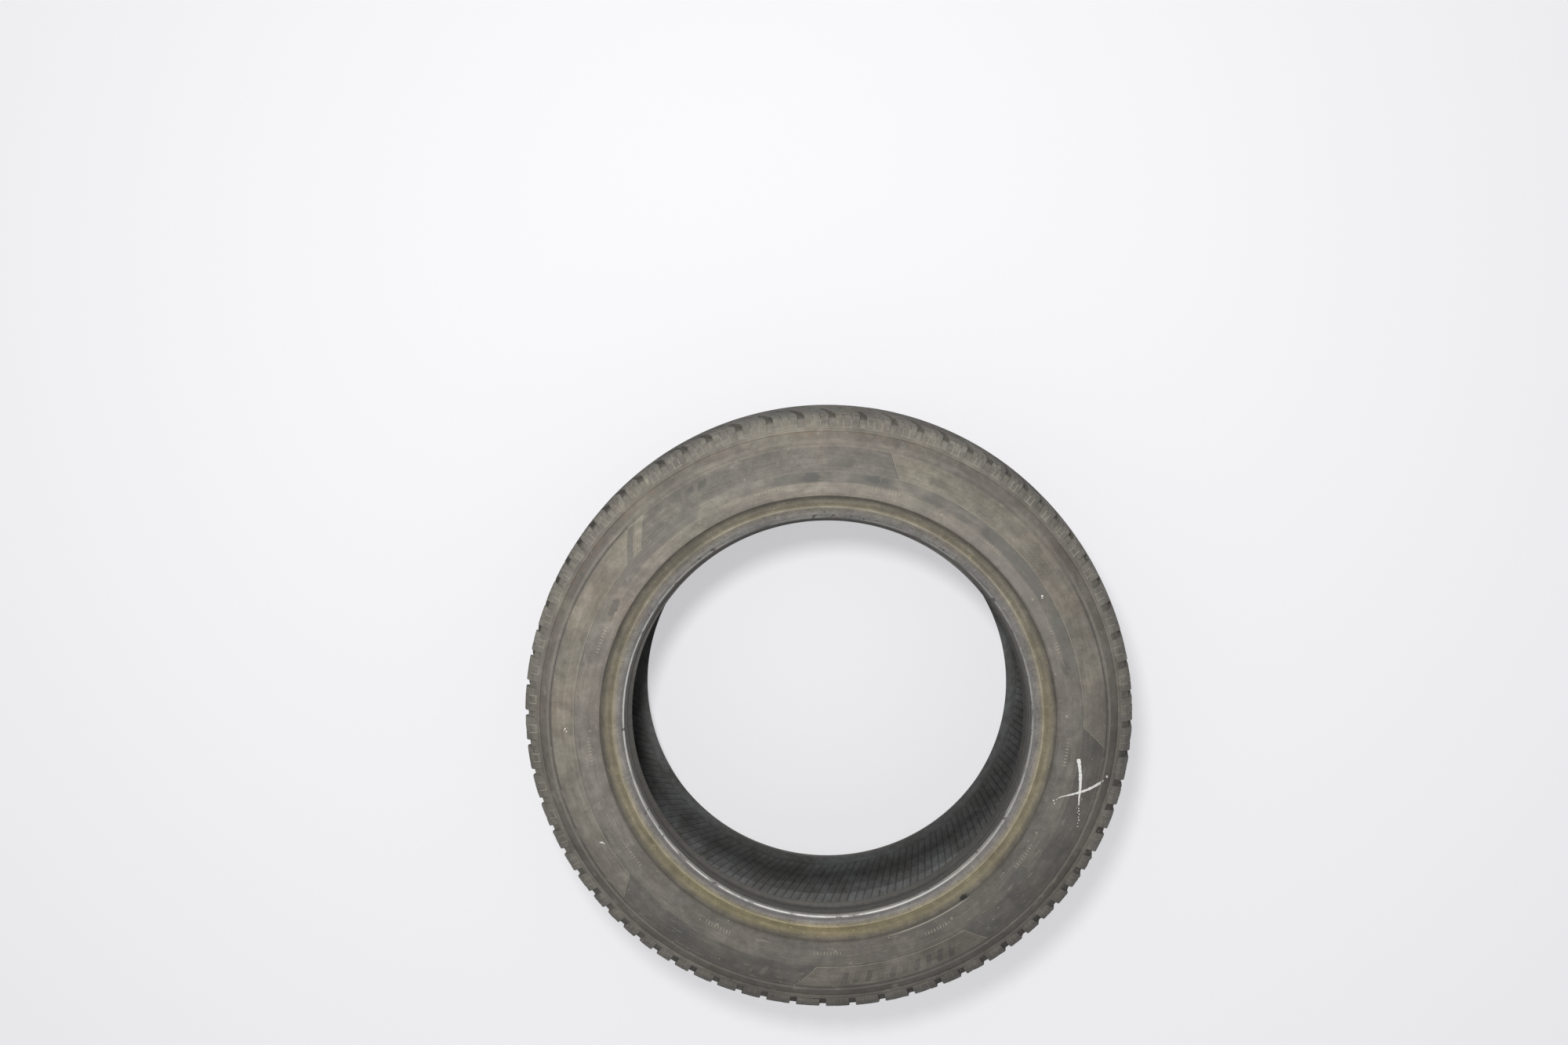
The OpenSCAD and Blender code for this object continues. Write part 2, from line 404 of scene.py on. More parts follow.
class Pattern:
    """A small shape drawn flat, to be repeated round the tyre.

    A point is (share, shift, along, height): its place round the tyre as a share of one pitch plus
    a shift, the length along the section's path, and the height over it, in millimetres.
    """

    def __init__(self):
        self.points = []
        self.faces = []

    def loft(self, rings):
        first = len(self.points)
        size = len(rings[0])
        for ring in rings:
            self.points += ring
        for row in range(len(rings) - 1):
            for k in range(size):
                a = first + row * size + k
                b = first + row * size + (k + 1) % size
                self.faces.append((a, b, b + size, a + size))
        last = first + (len(rings) - 1) * size
        self.faces.append(tuple(first + k for k in reversed(range(size))))
        self.faces.append(tuple(last + k for k in range(size)))

    def ridge(self, rows, width, height, share=0.5):
        """A raised line through (along, shift) rows, three-sided in section."""
        rings = []
        for along, shift in rows:
            rings.append([(share, shift - width / 2, along, FOOT), (share, shift, along, height),
                          (share, shift + width / 2, along, FOOT)])
        self.loft(rings)

    def mesh(self, name):
        mesh = bpy.data.meshes.new(name)
        mesh.from_pydata([(p[0], p[2] * MM, p[3] * MM) for p in self.points], [], self.faces)
        shift = mesh.attributes.new("shift", "FLOAT", "POINT")
        shift.data.foreach_set("value", [p[1] * MM for p in self.points])
        return mesh


class Graph:
    """Adds nodes to a tree and joins them."""

    def __init__(self, tree):
        self.tree = tree

    def node(self, kind, plugs=None, **settings):
        made = self.tree.nodes.new(kind)
        for name, value in settings.items():
            setattr(made, name, value)
        for key, value in (plugs or {}).items():
            self.plug(made.inputs[key], value)
        return made

    def plug(self, socket, value):
        if isinstance(value, bpy.types.NodeSocket):
            self.tree.links.new(value, socket)
        else:
            socket.default_value = value

    def math(self, operation, *values):
        made = self.node("ShaderNodeMath", operation=operation)
        for socket, value in zip(made.inputs, values):
            self.plug(socket, value)
        return made.outputs[0]

    def plus(self, a, b):
        return self.math("ADD", a, b)

    def minus(self, a, b):
        return self.math("SUBTRACT", a, b)

    def over(self, a, b):
        return self.math("DIVIDE", a, b)

    def times(self, value, *others):
        for other in others:
            value = self.math("MULTIPLY", value, other)
        return value

    def join(self, x, y, z):
        return self.node("ShaderNodeCombineXYZ", {0: x, 1: y, 2: z}).outputs[0]


# ------------------------------------------------------------------ the wrapping tree
WRAP_INPUTS = [
    ("Pattern", "NodeSocketGeometry", None), ("Path", "NodeSocketObject", None),
    ("Count", "NodeSocketInt", PITCHES), ("Pitch spread", "NodeSocketFloat", 0.0),
    ("Pitch waves", "NodeSocketFloat", float(PITCH_WAVES)), ("Start angle", "NodeSocketFloat", 0.0),
    ("Arc", "NodeSocketFloat", 2 * math.pi), ("Shift radius", "NodeSocketFloat", CROWN_R * MM),
    ("Anchor", "NodeSocketFloat", 0.0), ("End run", "NodeSocketFloat", 0.0),
    ("Middle height", "NodeSocketFloat", HALF_W * MM), ("Inwards", "NodeSocketBool", False),
    ("Both sides", "NodeSocketBool", True), ("Inboard turn", "NodeSocketFloat", 0.0),
    ("Wear", "NodeSocketFloat", 0.0), ("Chipping", "NodeSocketFloat", 0.0), ("Seed", "NodeSocketInt", 5),
    ("Rubber", "NodeSocketMaterial", None)]
SHORTEST_REACH = 0.02   # the share of a ridge's length that is left where its panel tapers to an end
TINY = 1e-6             # an end run in metres that counts as none
CHIP_SCALE = 150.0      # how finely the chips are scattered
CHIP_ABOVE = 0.56       # the noise level past which rubber is chipped away
CHIP_DEPTH = 0.9        # only rubber this near the top of a block is chipped, in millimetres


def wrapping_tree():
    """Repeats a flat pattern round the tyre, along the section's path, on one side or on both."""
    tree = bpy.data.node_groups.new("wrap_round_tyre", "GeometryNodeTree")
    tree.interface.new_socket("Geometry", in_out="OUTPUT", socket_type="NodeSocketGeometry")
    for name, kind, value in WRAP_INPUTS:
        socket = tree.interface.new_socket(name, in_out="INPUT", socket_type=kind)
        if value is not None:
            socket.default_value = value
    g = Graph(tree)
    size = g.node("NodeGroupInput").outputs

    # One point per repeat, with its own share of the way round.
    index = g.node("GeometryNodeInputIndex").outputs[0]
    phase = g.over(g.plus(index, 0.5), size["Count"])
    wave = g.math("COSINE", g.times(phase, g.times(size["Pitch waves"], 2 * math.pi)))
    swell = g.times(g.math("ROUND", wave), g.times(size["Pitch spread"], 0.5))
    length = g.plus(swell, 1.0)
    running = g.node("GeometryNodeAccumulateField", {0: length}, data_type="FLOAT", domain="POINT")
    scale = g.over(size["Arc"], running.outputs["Total"])
    start = g.times(running.outputs["Trailing"], scale)
    span = g.times(length, scale)
    left = g.times(g.minus(size["Arc"], g.plus(start, span)), size["Shift radius"])
    reach = g.over(left, g.math("MAXIMUM", size["End run"], TINY / 10))
    reach = g.math("MINIMUM", g.math("MAXIMUM", reach, SHORTEST_REACH), 1.0)
    reach = g.math("MAXIMUM", reach, g.math("LESS_THAN", size["End run"], TINY))
    drop = g.node("FunctionNodeRandomValue", data_type="FLOAT")
    g.plug(drop.inputs[2], 0.0)
    g.plug(drop.inputs[3], size["Wear"])
    g.plug(drop.inputs["Seed"], size["Seed"])
    points = g.node("GeometryNodePoints", {"Count": size["Count"]}).outputs[0]
    for name, value in (("start", start), ("span", span), ("reach", reach), ("drop", drop.outputs[1])):
        points = g.node("GeometryNodeStoreNamedAttribute", {
            "Geometry": points, "Name": name, "Value": value}, data_type="FLOAT", domain="POINT").outputs[0]
    laid = g.node("GeometryNodeInstanceOnPoints", {"Points": points, "Instance": size["Pattern"]}).outputs[0]
    laid = g.node("GeometryNodeRealizeInstances", {"Geometry": laid}).outputs[0]

    # Each point's flat place becomes an angle, a length along the path and a height over it.
    def kept(name):
        named = g.node("GeometryNodeInputNamedAttribute", {"Name": name}, data_type="FLOAT")
        return named.outputs["Attribute"]

    flat = g.node("ShaderNodeSeparateXYZ", {0: g.node("GeometryNodeInputPosition").outputs[0]}).outputs
    angle = g.plus(g.plus(size["Start angle"], kept("start")),
                   g.times(kept("span"), flat[0]))
    shift = g.over(g.times(kept("shift"), kept("reach")), size["Shift radius"])
    angle = g.plus(angle, shift)
    along = g.times(g.minus(flat[1], size["Anchor"]), kept("reach"))
    along = g.plus(along, size["Anchor"])
    around = g.math("COSINE", angle)
    across = g.math("SINE", angle)

    # Chips are broken out of the corners and edges in scattered spots.
    spot = g.join(g.times(around, size["Shift radius"]),
                  g.times(across, size["Shift radius"]), along)
    rough = g.node("ShaderNodeTexNoise", {"Vector": spot, "Scale": CHIP_SCALE, "Detail": 2.0}).outputs[0]
    chip = g.times(g.math("MAXIMUM", g.minus(rough, CHIP_ABOVE), 0.0), size["Chipping"])
    chip = g.times(chip, g.math("GREATER_THAN", flat[2], -CHIP_DEPTH * MM))
    lost = g.plus(kept("drop"), chip)
    outward = g.minus(1.0, g.times(size["Inwards"], 2.0))
    height = g.times(g.minus(flat[2], lost), outward)
    path = g.node("GeometryNodeObjectInfo", {"Object": size["Path"]}, transform_space="ORIGINAL")
    sample = g.node("GeometryNodeSampleCurve", {
        "Curves": path.outputs["Geometry"], "Length": along}, mode="LENGTH", data_type="FLOAT")
    place = g.node("ShaderNodeSeparateXYZ", {0: sample.outputs["Position"]}).outputs
    way = g.node("ShaderNodeSeparateXYZ", {0: sample.outputs["Tangent"]}).outputs
    radius = g.plus(place[0], g.times(height, way[2]))
    side = g.minus(place[2], g.times(height, way[0]))
    x = g.times(radius, around)
    y = g.times(radius, across)
    z = g.plus(size["Middle height"], side)
    outboard = g.node("GeometryNodeSetPosition", {"Geometry": laid, "Position": g.join(x, y, z)}).outputs[0]

    def flipped(geometry, when):
        turned = g.node("GeometryNodeFlipFaces", {"Mesh": geometry}).outputs[0]
        return g.node("GeometryNodeSwitch", {
            "Switch": when, "False": geometry, "True": turned}, input_type="GEOMETRY").outputs[0]

    outboard = flipped(outboard, size["Inwards"])

    # The inboard side is its mirror image, turned by part of a pitch.
    here = g.node("GeometryNodeInputPosition").outputs[0]
    turned = g.node("ShaderNodeVectorRotate", {
        "Vector": here, "Angle": size["Inboard turn"]}, rotation_type="Z_AXIS")
    there = g.node("ShaderNodeSeparateXYZ", {0: turned.outputs[0]}).outputs
    below = g.minus(g.times(size["Middle height"], 2.0), there[2])
    inboard = g.node("GeometryNodeSetPosition", {
        "Geometry": outboard, "Position": g.join(there[0], there[1], below)}).outputs[0]
    inboard = g.node("GeometryNodeFlipFaces", {"Mesh": inboard}).outputs[0]
    second = g.node("GeometryNodeSwitch", {
        "Switch": size["Both sides"], "True": inboard}, input_type="GEOMETRY")
    both = g.node("GeometryNodeJoinGeometry")
    tree.links.new(second.outputs[0], both.inputs[0])
    tree.links.new(outboard, both.inputs[0])
    whole = g.node("GeometryNodeRealizeInstances", {"Geometry": both.outputs[0]}).outputs[0]
    painted = g.node("GeometryNodeSetMaterial", {"Geometry": whole, "Material": size["Rubber"]}).outputs[0]
    g.node("NodeGroupOutput", {0: painted})
    return tree


def wrapped(name, pattern, path, rubber, **sizes):
    """Repeats the pattern round the tyre and returns it as a plain mesh."""
    piece = new_piece(name, pattern.mesh(name + "_pattern"))
    wrap = piece.modifiers.new("Wrap", "NODES")
    wrap.node_group = WRAPPING
    sizes = {key.replace("_", " "): value for key, value in sizes.items()}
    sizes.update({"Path": path, "Rubber": rubber, "Middle height": HALF_W * MM})
    for socket in WRAPPING.interface.items_tree:
        if socket.in_out == "INPUT" and socket.name in sizes:
            wrap[socket.identifier] = sizes[socket.name]
    shown = piece.evaluated_get(bpy.context.evaluated_depsgraph_get())
    mesh = bpy.data.meshes.new_from_object(shown)
    mesh.name = name
    for spare in ("shift", "start", "span", "reach", "drop"):
        if spare in mesh.attributes:
            mesh.attributes.remove(mesh.attributes[spare])
    piece.modifiers.clear()
    piece.data = mesh
    return piece


# ------------------------------------------------------------------ patterns
def lag_at(x):
    """How far a cross groove has swept away from its shoulder end, and its slope there."""
    t = max(0, EDGE_X - x)
    return SWEEP_BEND * t * t, 2 * SWEEP_BEND * t


def strip_ring(along, depth, left, right, top):
    """The six-sided section of one strip of a tread block; a side is (share, shift, chamfer)."""
    return [
        (left[0], left[1], along, -depth), (left[0], left[1], along, top - left[2]),
        (left[0], left[1] + left[2], along, top), (right[0], right[1] - right[2], along, top),
        (right[0], right[1], along, top - right[2]), (right[0], right[1], along, -depth)]


def cut_block(rows, strips, zigzag):
    """A tread block cut into strips by zigzag sipes.

    A row is (along, depth, top, lag, half gap, share of the sipes' full width and sway).
    """
    block = Pattern()
    for strip in range(strips):
        rings = []
        for number, (along, depth, top, lag, gap, bend) in enumerate(rows):
            sway = zigzag * bend * (1 if number % 2 else -1)
            edges = []
            for k in (strip, strip + 1):
                share = k / strips
                inner = 0 < k < strips
                shift = lag + gap * (1 - 2 * share) + (sway if inner else 0)
                if inner:
                    shift += SIPE_W / 2 * (0.15 + 0.85 * bend) * (1 if k == strip else -1)
                edges.append((share, shift, WORN_CORNER * (0.15 + 0.85 * bend if inner else 1)))
            rings.append(strip_ring(along, depth, edges[0], edges[1], top))
        block.loft(rings)
    return block


def shoulder_block():
    """A shoulder block, from its ring groove over the tread edge and down the bevel."""
    rows = []
    inner_x = RING_GROOVE_X + RING_GROOVE_W / 2
    for x in spread(inner_x, EDGE_X - 1.5, 11):
        lag, slope = lag_at(x)
        gap = CROSS_W / 2 * math.sqrt(1 + slope ** 2)
        depth = crown_at(x) - floor_at(x) + 0.6
        rows.append((SKIN.at_x(x), depth, 0, lag, gap, 1))
    # On the bevel the sipes close up and the block thins, until it runs out into the wall.
    for r, depth, top, bend in (
            (EDGE_R - 0.9, 3.2, 0, 0.4), (BEVEL_FOOT_R + 3.5, 2.8, 0, 0.05),
            (BEVEL_FOOT_R + 0.3, 2.6, 0, 0), (GROOVE_END_R + 1.2, 1.5, 0, 0),
            (GROOVE_END_R - 0.4, 1.0, -0.3, 0)):
        rows.append((SKIN.at_r(r), depth, top, 0, CROSS_W / 2, bend))
    return cut_block(rows, 3, 0.9)


def middle_block():
    """A block between the middle rib and its ring groove."""
    rows = []
    outer_x = RING_GROOVE_X - RING_GROOVE_W / 2
    for x in spread(MIDDLE_RIB + RIB_GROOVE_W, outer_x, 7):
        lag, slope = lag_at(x)
        gap = MIDDLE_W / 2 * math.sqrt(1 + slope ** 2)
        rows.append((SKIN.at_x(x), GROOVE_DEPTH + 0.6, 0, lag, gap, 1))
    return cut_block(rows, 3, 0.8)


def rib_strip():
    """One strip of the middle rib, between two V-shaped sipes."""
    rows = []
    for x in spread(-MIDDLE_RIB, MIDDLE_RIB, 4):
        lag = 6 - abs(x) * 0.85
        rows.append((MIDDLE.at_x(x), GROOVE_DEPTH + 0.6, 0, lag, SIPE_W / 2, 1))
    return cut_block(rows, 1, 0)


TOOTH_STEP = 1.45


def shoulder_marks():
    """Fine teeth and short raised lines on the shoulder side of each block."""
    marks = Pattern()
    teeth = 7
    for k in range(teeth):
        shift = (k - (teeth - 1) / 2) * TOOTH_STEP
        marks.ridge([(SKIN.at_r(294.2), shift), (SKIN.at_r(292.0), shift)], 0.9, 0.28)
    for share, shift in ((1 / 3, CROSS_W / 6), (2 / 3, -CROSS_W / 6)):
        rows = [(SKIN.at_r(r), shift) for r in (301, 299.5, 297.5, 296.4, 292.4)]
        marks.ridge(rows, 1.1, 0.3, share)
    return marks


def vent_stub():
    """A cut-off vent stub with a low ring round it."""
    stub = Pattern()
    corners = 10
    middle = SKIN.at_r(VENT_R)
    for size, low, high in ((0.7, -0.3, 0.35), (1.5, -0.3, 0.1)):
        rings = []
        for height, grow in ((low, 1.15), (high, 1)):
            ring = []
            for k in range(corners):
                a = 2 * math.pi * k / corners
                ring.append((0.5, size * grow * math.cos(a), middle + size * grow * math.sin(a), height))
            rings.append(ring)
        stub.loft(rings)
    return stub


def mould_line():
    line = Pattern()
    rows = [(SKIN.at_r(r), 0) for r in (251.5, 249, 246.5, 243.5)]
    line.ridge(rows, 0.7, 0.3)
    return line


def wall_bar(start, end, centre, lean, half_width, height):
    """A low flat bar between two radii, leaning a little round the tyre."""
    rings = []
    for r in spread(start, end, 4):
        along = SKIN.at_r(r)
        left = centre + (start - r) * lean - half_width
        right = centre + (start - r) * lean + half_width
        rings.append([(0.5, left + FOOT, along, FOOT), (0.5, left, along, height),
                      (0.5, right, along, height), (0.5, right - FOOT, along, FOOT)])
    return rings


def slanted_bar():
    bar = Pattern()
    bar.loft(wall_bar(271.5, 259.5, 0, 0.4, 2.5, 0.24))
    return bar


def dash_group():
    """A row of short plain dashes side by side."""
    group = Pattern()
    for k in range(9):
        group.loft(wall_bar(239.6, 236.6, (k - 4) * 3.3, 0, 0.45 + 0.25 * (k * k % 4), 0.14))
    return group


def panel_ridge(slant_mm):
    ridge = Pattern()
    first = SKIN.at_r(PANEL_OUT_R)
    last = SKIN.at_r(PANEL_IN_R)
    rows = [(s, slant_mm * (s - first) / (last - first)) for s in spread(first, last, 6)]
    ridge.ridge(rows, 0.8, 0.05)
    return ridge


def liner_rib():
    """One of the flat-topped slanting ribs that the curing bladder leaves inside the tyre."""
    rib = Pattern()
    first = LINER.at_x(1.5)
    last = LINER.at_r(211)
    rings = []
    for s in spread(first, last, 14):
        shift = 0.5 * (s - first)
        low = min(1, (last - s) / 12) * 0.5
        rings.append([(0.06, shift, s, FOOT), (0.12, shift, s, low), (0.5, shift, s, low + 0.08),
                      (0.88, shift, s, low), (0.94, shift, s, FOOT)])
    rib.loft(rings)
    return rib


# ------------------------------------------------------------------ finishes
def tone(red, green, blue):
    """A display colour as the linear colour that a shader takes."""
    out = []
    for value in (red, green, blue):
        v = value / 255
        out.append(v / 12.92 if v <= 0.04045 else ((v + 0.055) / 1.055) ** 2.4)
    return (out[0], out[1], out[2], 1.0)


class Finish(Graph):
    """A procedural material, with the places on the tyre that its patterns follow."""

    def __init__(self, name):
        self.material = bpy.data.materials.new(name)
        self.material.use_nodes = True
        super().__init__(self.material.node_tree)
        self.tree.nodes.clear()
        self.shader = self.node("ShaderNodeBsdfPrincipled")
        self.node("ShaderNodeOutputMaterial", {"Surface": self.shader.outputs[0]})
        self.place = self.node("ShaderNodeTexCoord").outputs["Object"]
        self.x, self.y, self.z = self.node("ShaderNodeSeparateXYZ", {0: self.place}).outputs
        self.radius = self.math("SQRT", self.plus(self.times(self.x, self.x), self.times(self.y, self.y)))
        self.ahead = self.over(self.x, self.radius)
        self.aside = self.over(self.y, self.radius)
        self.turn = self.times(self.math("ARCTAN2", self.y, self.x), 180 / math.pi)
        # The way towards the most dust and the brightest painted light.
        self.dust_and_light = self.plus(self.times(self.ahead, math.cos(DUST_AND_LIGHT_SIDE)),
                               self.times(self.aside, math.sin(DUST_AND_LIGHT_SIDE)))

    # Patterns: each gives a value, mostly from 0 to 1.
    def noise(self, scale, detail=3.0, rough=0.55, distortion=0.0, at=None):
        return self.node("ShaderNodeTexNoise", {
            "Vector": at or self.place, "Scale": scale, "Detail": detail, "Roughness": rough,
            "Distortion": distortion}).outputs[0]

    def streaks_round(self, round_scale, cross_scale, detail):
        """Noise drawn out along the turning direction."""
        across = self.times(self.plus(self.radius, self.z), cross_scale)
        at = self.join(self.times(self.ahead, round_scale), self.times(self.aside, round_scale), across)
        return self.noise(1.0, detail, at=at)

    def window(self, value, low, high):
        """0 below low, 1 above high, and straight between them; reversed if low is the larger."""
        return self.node("ShaderNodeMapRange", {
            "Value": value, "From Min": low, "From Max": high, "To Min": 0.0, "To Max": 1.0}).outputs[0]

    def patches(self, scale, low, high, detail=4, rough=0.55, distortion=0.0):
        """Scattered patches: 1 where the noise passes high, 0 where it stays under low."""
        return self.window(self.noise(scale, detail, rough, distortion), low, high)

    def drift(self, value, scale, reach, rough=0.55):
        """A value pushed up and down by noise, by up to half the reach."""
        return self.plus(value, self.times(self.minus(self.noise(scale, 4, rough), 0.5), reach))

    def beyond(self, low, high):
        """0 inside one radius and 1 outside another, in millimetres; reversed if low is the larger."""
        return self.window(self.radius, low * MM, high * MM)

    def band(self, low, high, soft):
        """1 between two radii in millimetres, fading to 0 over a soft edge inside them."""
        return self.times(self.beyond(low, low + soft), self.beyond(high, high - soft))

    def past(self, start):
        """Degrees round the axis from a start, which may itself be a socket."""
        return self.times(self.math("FRACT", self.over(self.minus(self.turn, start), 360)), 360)

    def by_turn(self, stops):
        """A value or colour that changes round the tyre; the stops are (degrees, value)."""
        return self.ramp(self.over(self.past(0), 360), [(turn / 360, value) for turn, value in stops])

    def specks(self, scale, size, share):
        """Scattered round specks: 1 inside one, on the given share of the cells."""
        cells = self.node("ShaderNodeTexVoronoi", {"Vector": self.place, "Scale": scale})
        near = self.window(cells.outputs["Distance"], size, size * 0.6)
        pick = self.node("ShaderNodeSeparateColor", {0: cells.outputs["Color"]}).outputs[0]
        return self.times(near, self.math("LESS_THAN", pick, share))

    # Colours and relief.
    def ramp(self, value, stops):
        made = self.node("ShaderNodeValToRGB", {0: value})
        bar = made.color_ramp
        while len(bar.elements) < len(stops):
            bar.elements.new(0.5)
        for element, (spot, colour) in zip(bar.elements, stops):
            element.position = spot
        for element, (spot, colour) in zip(bar.elements, stops):
            element.color = colour if isinstance(colour, tuple) else (colour, colour, colour, 1)
        return made.outputs[0]

    def blend(self, amount, under, over, mode="MIX"):
        made = self.node("ShaderNodeMix", data_type="RGBA", blend_type=mode)
        self.plug(made.inputs[0], amount)
        self.plug(made.inputs[6], under)
        self.plug(made.inputs[7], over)
        return made.outputs[2]

    def coat(self, under, over, mask, strength=None):
        """Lays one colour over another where the mask is 1, at a share of its full strength."""
        amount = mask if strength is None else self.times(mask, strength)
        return self.blend(amount, under, over)

    def gain(self, colour, level, mask=1.0):
        """Multiplies a colour by another where the mask is 1."""
        return self.blend(mask, colour, level, "MULTIPLY")

    def shade(self, colour, value, stops):
        """Darkens or lightens a colour by a ramp of gains."""
        return self.gain(colour, self.ramp(value, stops))

    def bump(self, height, depth, under=None):
        """Relief of a depth in millimetres, over other relief."""
        plugs = {"Height": height, "Distance": depth * MM}
        if under is not None:
            plugs["Normal"] = under
        return self.node("ShaderNodeBump", plugs).outputs[0]

    def grain(self, depth):
        """The fine grain of moulded rubber."""
        return self.bump(self.noise(900, 3), depth)

    def finish(self, colour, roughness, normal=None, specular=0.5):
        self.plug(self.shader.inputs["Base Color"], colour)
        self.plug(self.shader.inputs["Roughness"], roughness)
        self.plug(self.shader.inputs["Specular IOR Level"], specular)
        if normal is not None:
            self.plug(self.shader.inputs["Normal"], normal)
        return self.material


# The radii in metres that the skin's colour and roughness ramps run between.
RAMP_LOW = 0.196
RAMP_HIGH = 0.312

# Display colours by radius in millimetres, from the toe to the crown. The dark stop at 226.1, at the foot of
# the guard's step, is a painted shadow line.
SKIN_COLOURS = [
    (198, (72, 69, 64)), (203.4, (92, 90, 87)), (204.6, (116, 114, 112)), (206.5, (116, 114, 111)),
    (209, (113, 110, 107)), (211, (120, 115, 110)), (212.6, (133, 127, 117)), (213.6, (146, 140, 128)),
    (214.4, (157, 152, 140)), (215.4, (153, 147, 133)), (216.3, (133, 127, 111)), (217.4, (120, 114, 98)),
    (218.4, (110, 105, 90)), (219.6, (123, 118, 104)), (221.6, (132, 127, 115)), (223.4, (123, 118, 107)),
    (225, (114, 109, 99)), (226.1, (102, 98, 91)), (227.4, (112, 107, 100)), (230, (120, 115, 109)),
    (240, (125, 120, 113)), (251, (121, 117, 110)), (272, (116, 112, 105)), (281, (113, 108, 102)),
    (283, (105, 101, 96)), (287, (106, 102, 96)), (289, (112, 107, 101)), (292, (114, 110, 104)),
    (303, (111, 108, 103)), (305.6, (104, 101, 97)), (309, (82, 81, 79)), (312, (76, 75, 73))]

# Roughness by share of the same ramp: polished where the rim rubbed, dull with dust elsewhere.
SKIN_ROUGHNESS = [(0.0, 0.55), (0.06, 0.45), (0.085, 0.38), (0.12, 0.5), (0.155, 0.62), (0.2, 0.78),
                  (1.0, 0.74)]

# Gains from the clean side of the tyre, at 0, to the side where the most dust lies, at 1: on the wall dust
# and painted light together, on the bead and the channel painted light and shade.
WALL_DUST_AND_LIGHT_GAIN = [(0.0, (0.7, 0.7, 0.71, 1)), (0.5, (0.98, 0.98, 0.98, 1)), (1.0, (1.42, 1.4, 1.36, 1))]
BEAD_LIGHT_GAIN = [(0.1, 1.12), (0.35, 1.0), (1.0, 1.05)]
CHANNEL_LIGHT_GAIN = [(0.0, 1.06), (1.0, 0.96)]

# Gains on the dull panels, on the wall between them, and on the smooth bars.
PANEL_LEVEL = (1.25, 1.24, 1.22, 1)
HATCHING_LEVEL = (1.25, 1.24, 1.2, 1)
PLAIN_LEVEL = (0.77, 0.78, 0.8, 1)
BAR_LEVEL = (0.74, 0.75, 0.77, 1)
GOLDEN_LEVEL = (1.06, 1.0, 0.75, 1)

# How strongly each mark shows round the tyre, as (azimuth in degrees, strength).
GUARD_DUST_ROUND = [(0, 0.0), (20, 0.5), (35, 1.0), (60, 0.4), (100, 0.0)]
DARK_ARC_ROUND = [(0, 0.2), (15, 0.6), (30, 1.0), (115, 1.0), (150, 0.3), (190, 0.0)]
# Painted light and shade on the bead face, brighter where more light fell on it.
BEAD_FACE_LIGHT_ROUND = [(0, 1.08), (60, 1.15), (115, 1.18), (150, 1.35), (178, 1.5), (205, 1.28), (240, 1.0),
                   (290, 1.0), (320, 1.12), (360, 1.08)]
DARK_STRIP_ROUND = [(0, 0.15), (150, 0.15), (205, 0.6), (240, 0.85), (275, 0.9), (305, 0.45),
                (335, 0.3), (360, 0.15)]
# Painted highlights along the heel: the main line, then a second line inside it.
HEEL_HIGHLIGHT_ROUND = [(0, 0.35), (35, 0.25), (115, 0.25), (172, 0.8), (212, 0.6), (240, 0.95), (272, 1.0),
                (300, 0.7), (330, 0.45), (360, 0.3)]
SECOND_HIGHLIGHT_ROUND = [(0, 0.0), (190, 0.0), (212, 0.8), (240, 0.35), (300, 0.35), (330, 0.9),
                     (350, 0.2), (360, 0.0)]
GOLDEN_ROUND = [(0, 0.4), (35, 0.0), (115, 0.1), (150, 0.05), (172, 0.25), (212, 0.5), (240, 0.85),
                (272, 1.0), (300, 0.6), (330, 0.55), (360, 0.4)]
# Painted light and shade on the toe, round the tyre.
TOE_LIGHT_AND_SHADE_ROUND = [(0, 0.52), (38, 0.54), (52, 1.35), (90, 1.05), (150, 1.6), (178, 1.0), (215, 1.0),
             (270, 1.4), (292, 1.0), (315, 0.8), (337, 0.57), (360, 0.52)]
SEAT_ROUND = [
    (0, tone(91, 90, 88)), (35, tone(108, 106, 103)), (75, tone(102, 101, 98)), (115, tone(97, 96, 93)),
    (172, tone(95, 93, 89)), (212, tone(83, 80, 76)), (330, tone(82, 81, 78)), (360, tone(91, 90, 88))]

# Colours of the dust, dirt and rubbed rubber that lie over the zone colours.
OLIVE_DUST = tone(118, 117, 104)
RUSTY_DUST = tone(131, 117, 105)
RUST_SPECK = tone(142, 120, 104)
LINE_DIRT = tone(62, 60, 57)
RUBBED_RIDGE = tone(150, 145, 134)
GUARD_DUST = tone(148, 143, 136)
ARC_RUBBER = tone(103, 102, 98)
SMUDGE = tone(82, 82, 80)
SOFT_SMUDGE = tone(84, 83, 80)
SCRAPE = tone(166, 160, 148)
BEAD_FLECK = tone(80, 78, 78)
PALE_FLECK = tone(168, 164, 156)
DARK_STRIP_TONE = tone(78, 76, 79)
PIT = tone(58, 55, 54)
RUBBED_BEAD = tone(180, 177, 171)
HEEL_HIGHLIGHT = tone(224, 223, 219)
SECOND_HIGHLIGHT = tone(206, 205, 200)
NICK = tone(60, 58, 56)
GOLDEN_GRIT = tone(176, 162, 124)
CHANNEL_DIRT = tone(74, 70, 62)
PALE_SPECK = tone(190, 186, 176)
WHITE_SPECK = tone(225, 223, 214)
TORN_EDGE = tone(172, 167, 155)
TORN_RUBBER = tone(42, 41, 40)
RAISED_DUST = tone(176, 170, 156)
BARE_PANEL = tone(98, 96, 90)
SHOULDER_DUST_AND_HIGHLIGHT = tone(150, 148, 138)
CROWN_SCUFF = tone(128, 125, 119)
PALE_SCRAPE = tone(176, 174, 152)
RUBBED_CROWN = tone(58, 57, 56)
TREAD_SPECK = tone(176, 172, 162)
GROOVE_RUBBER = tone(66, 64, 60)
GROOVE_DUST = tone(134, 130, 121)
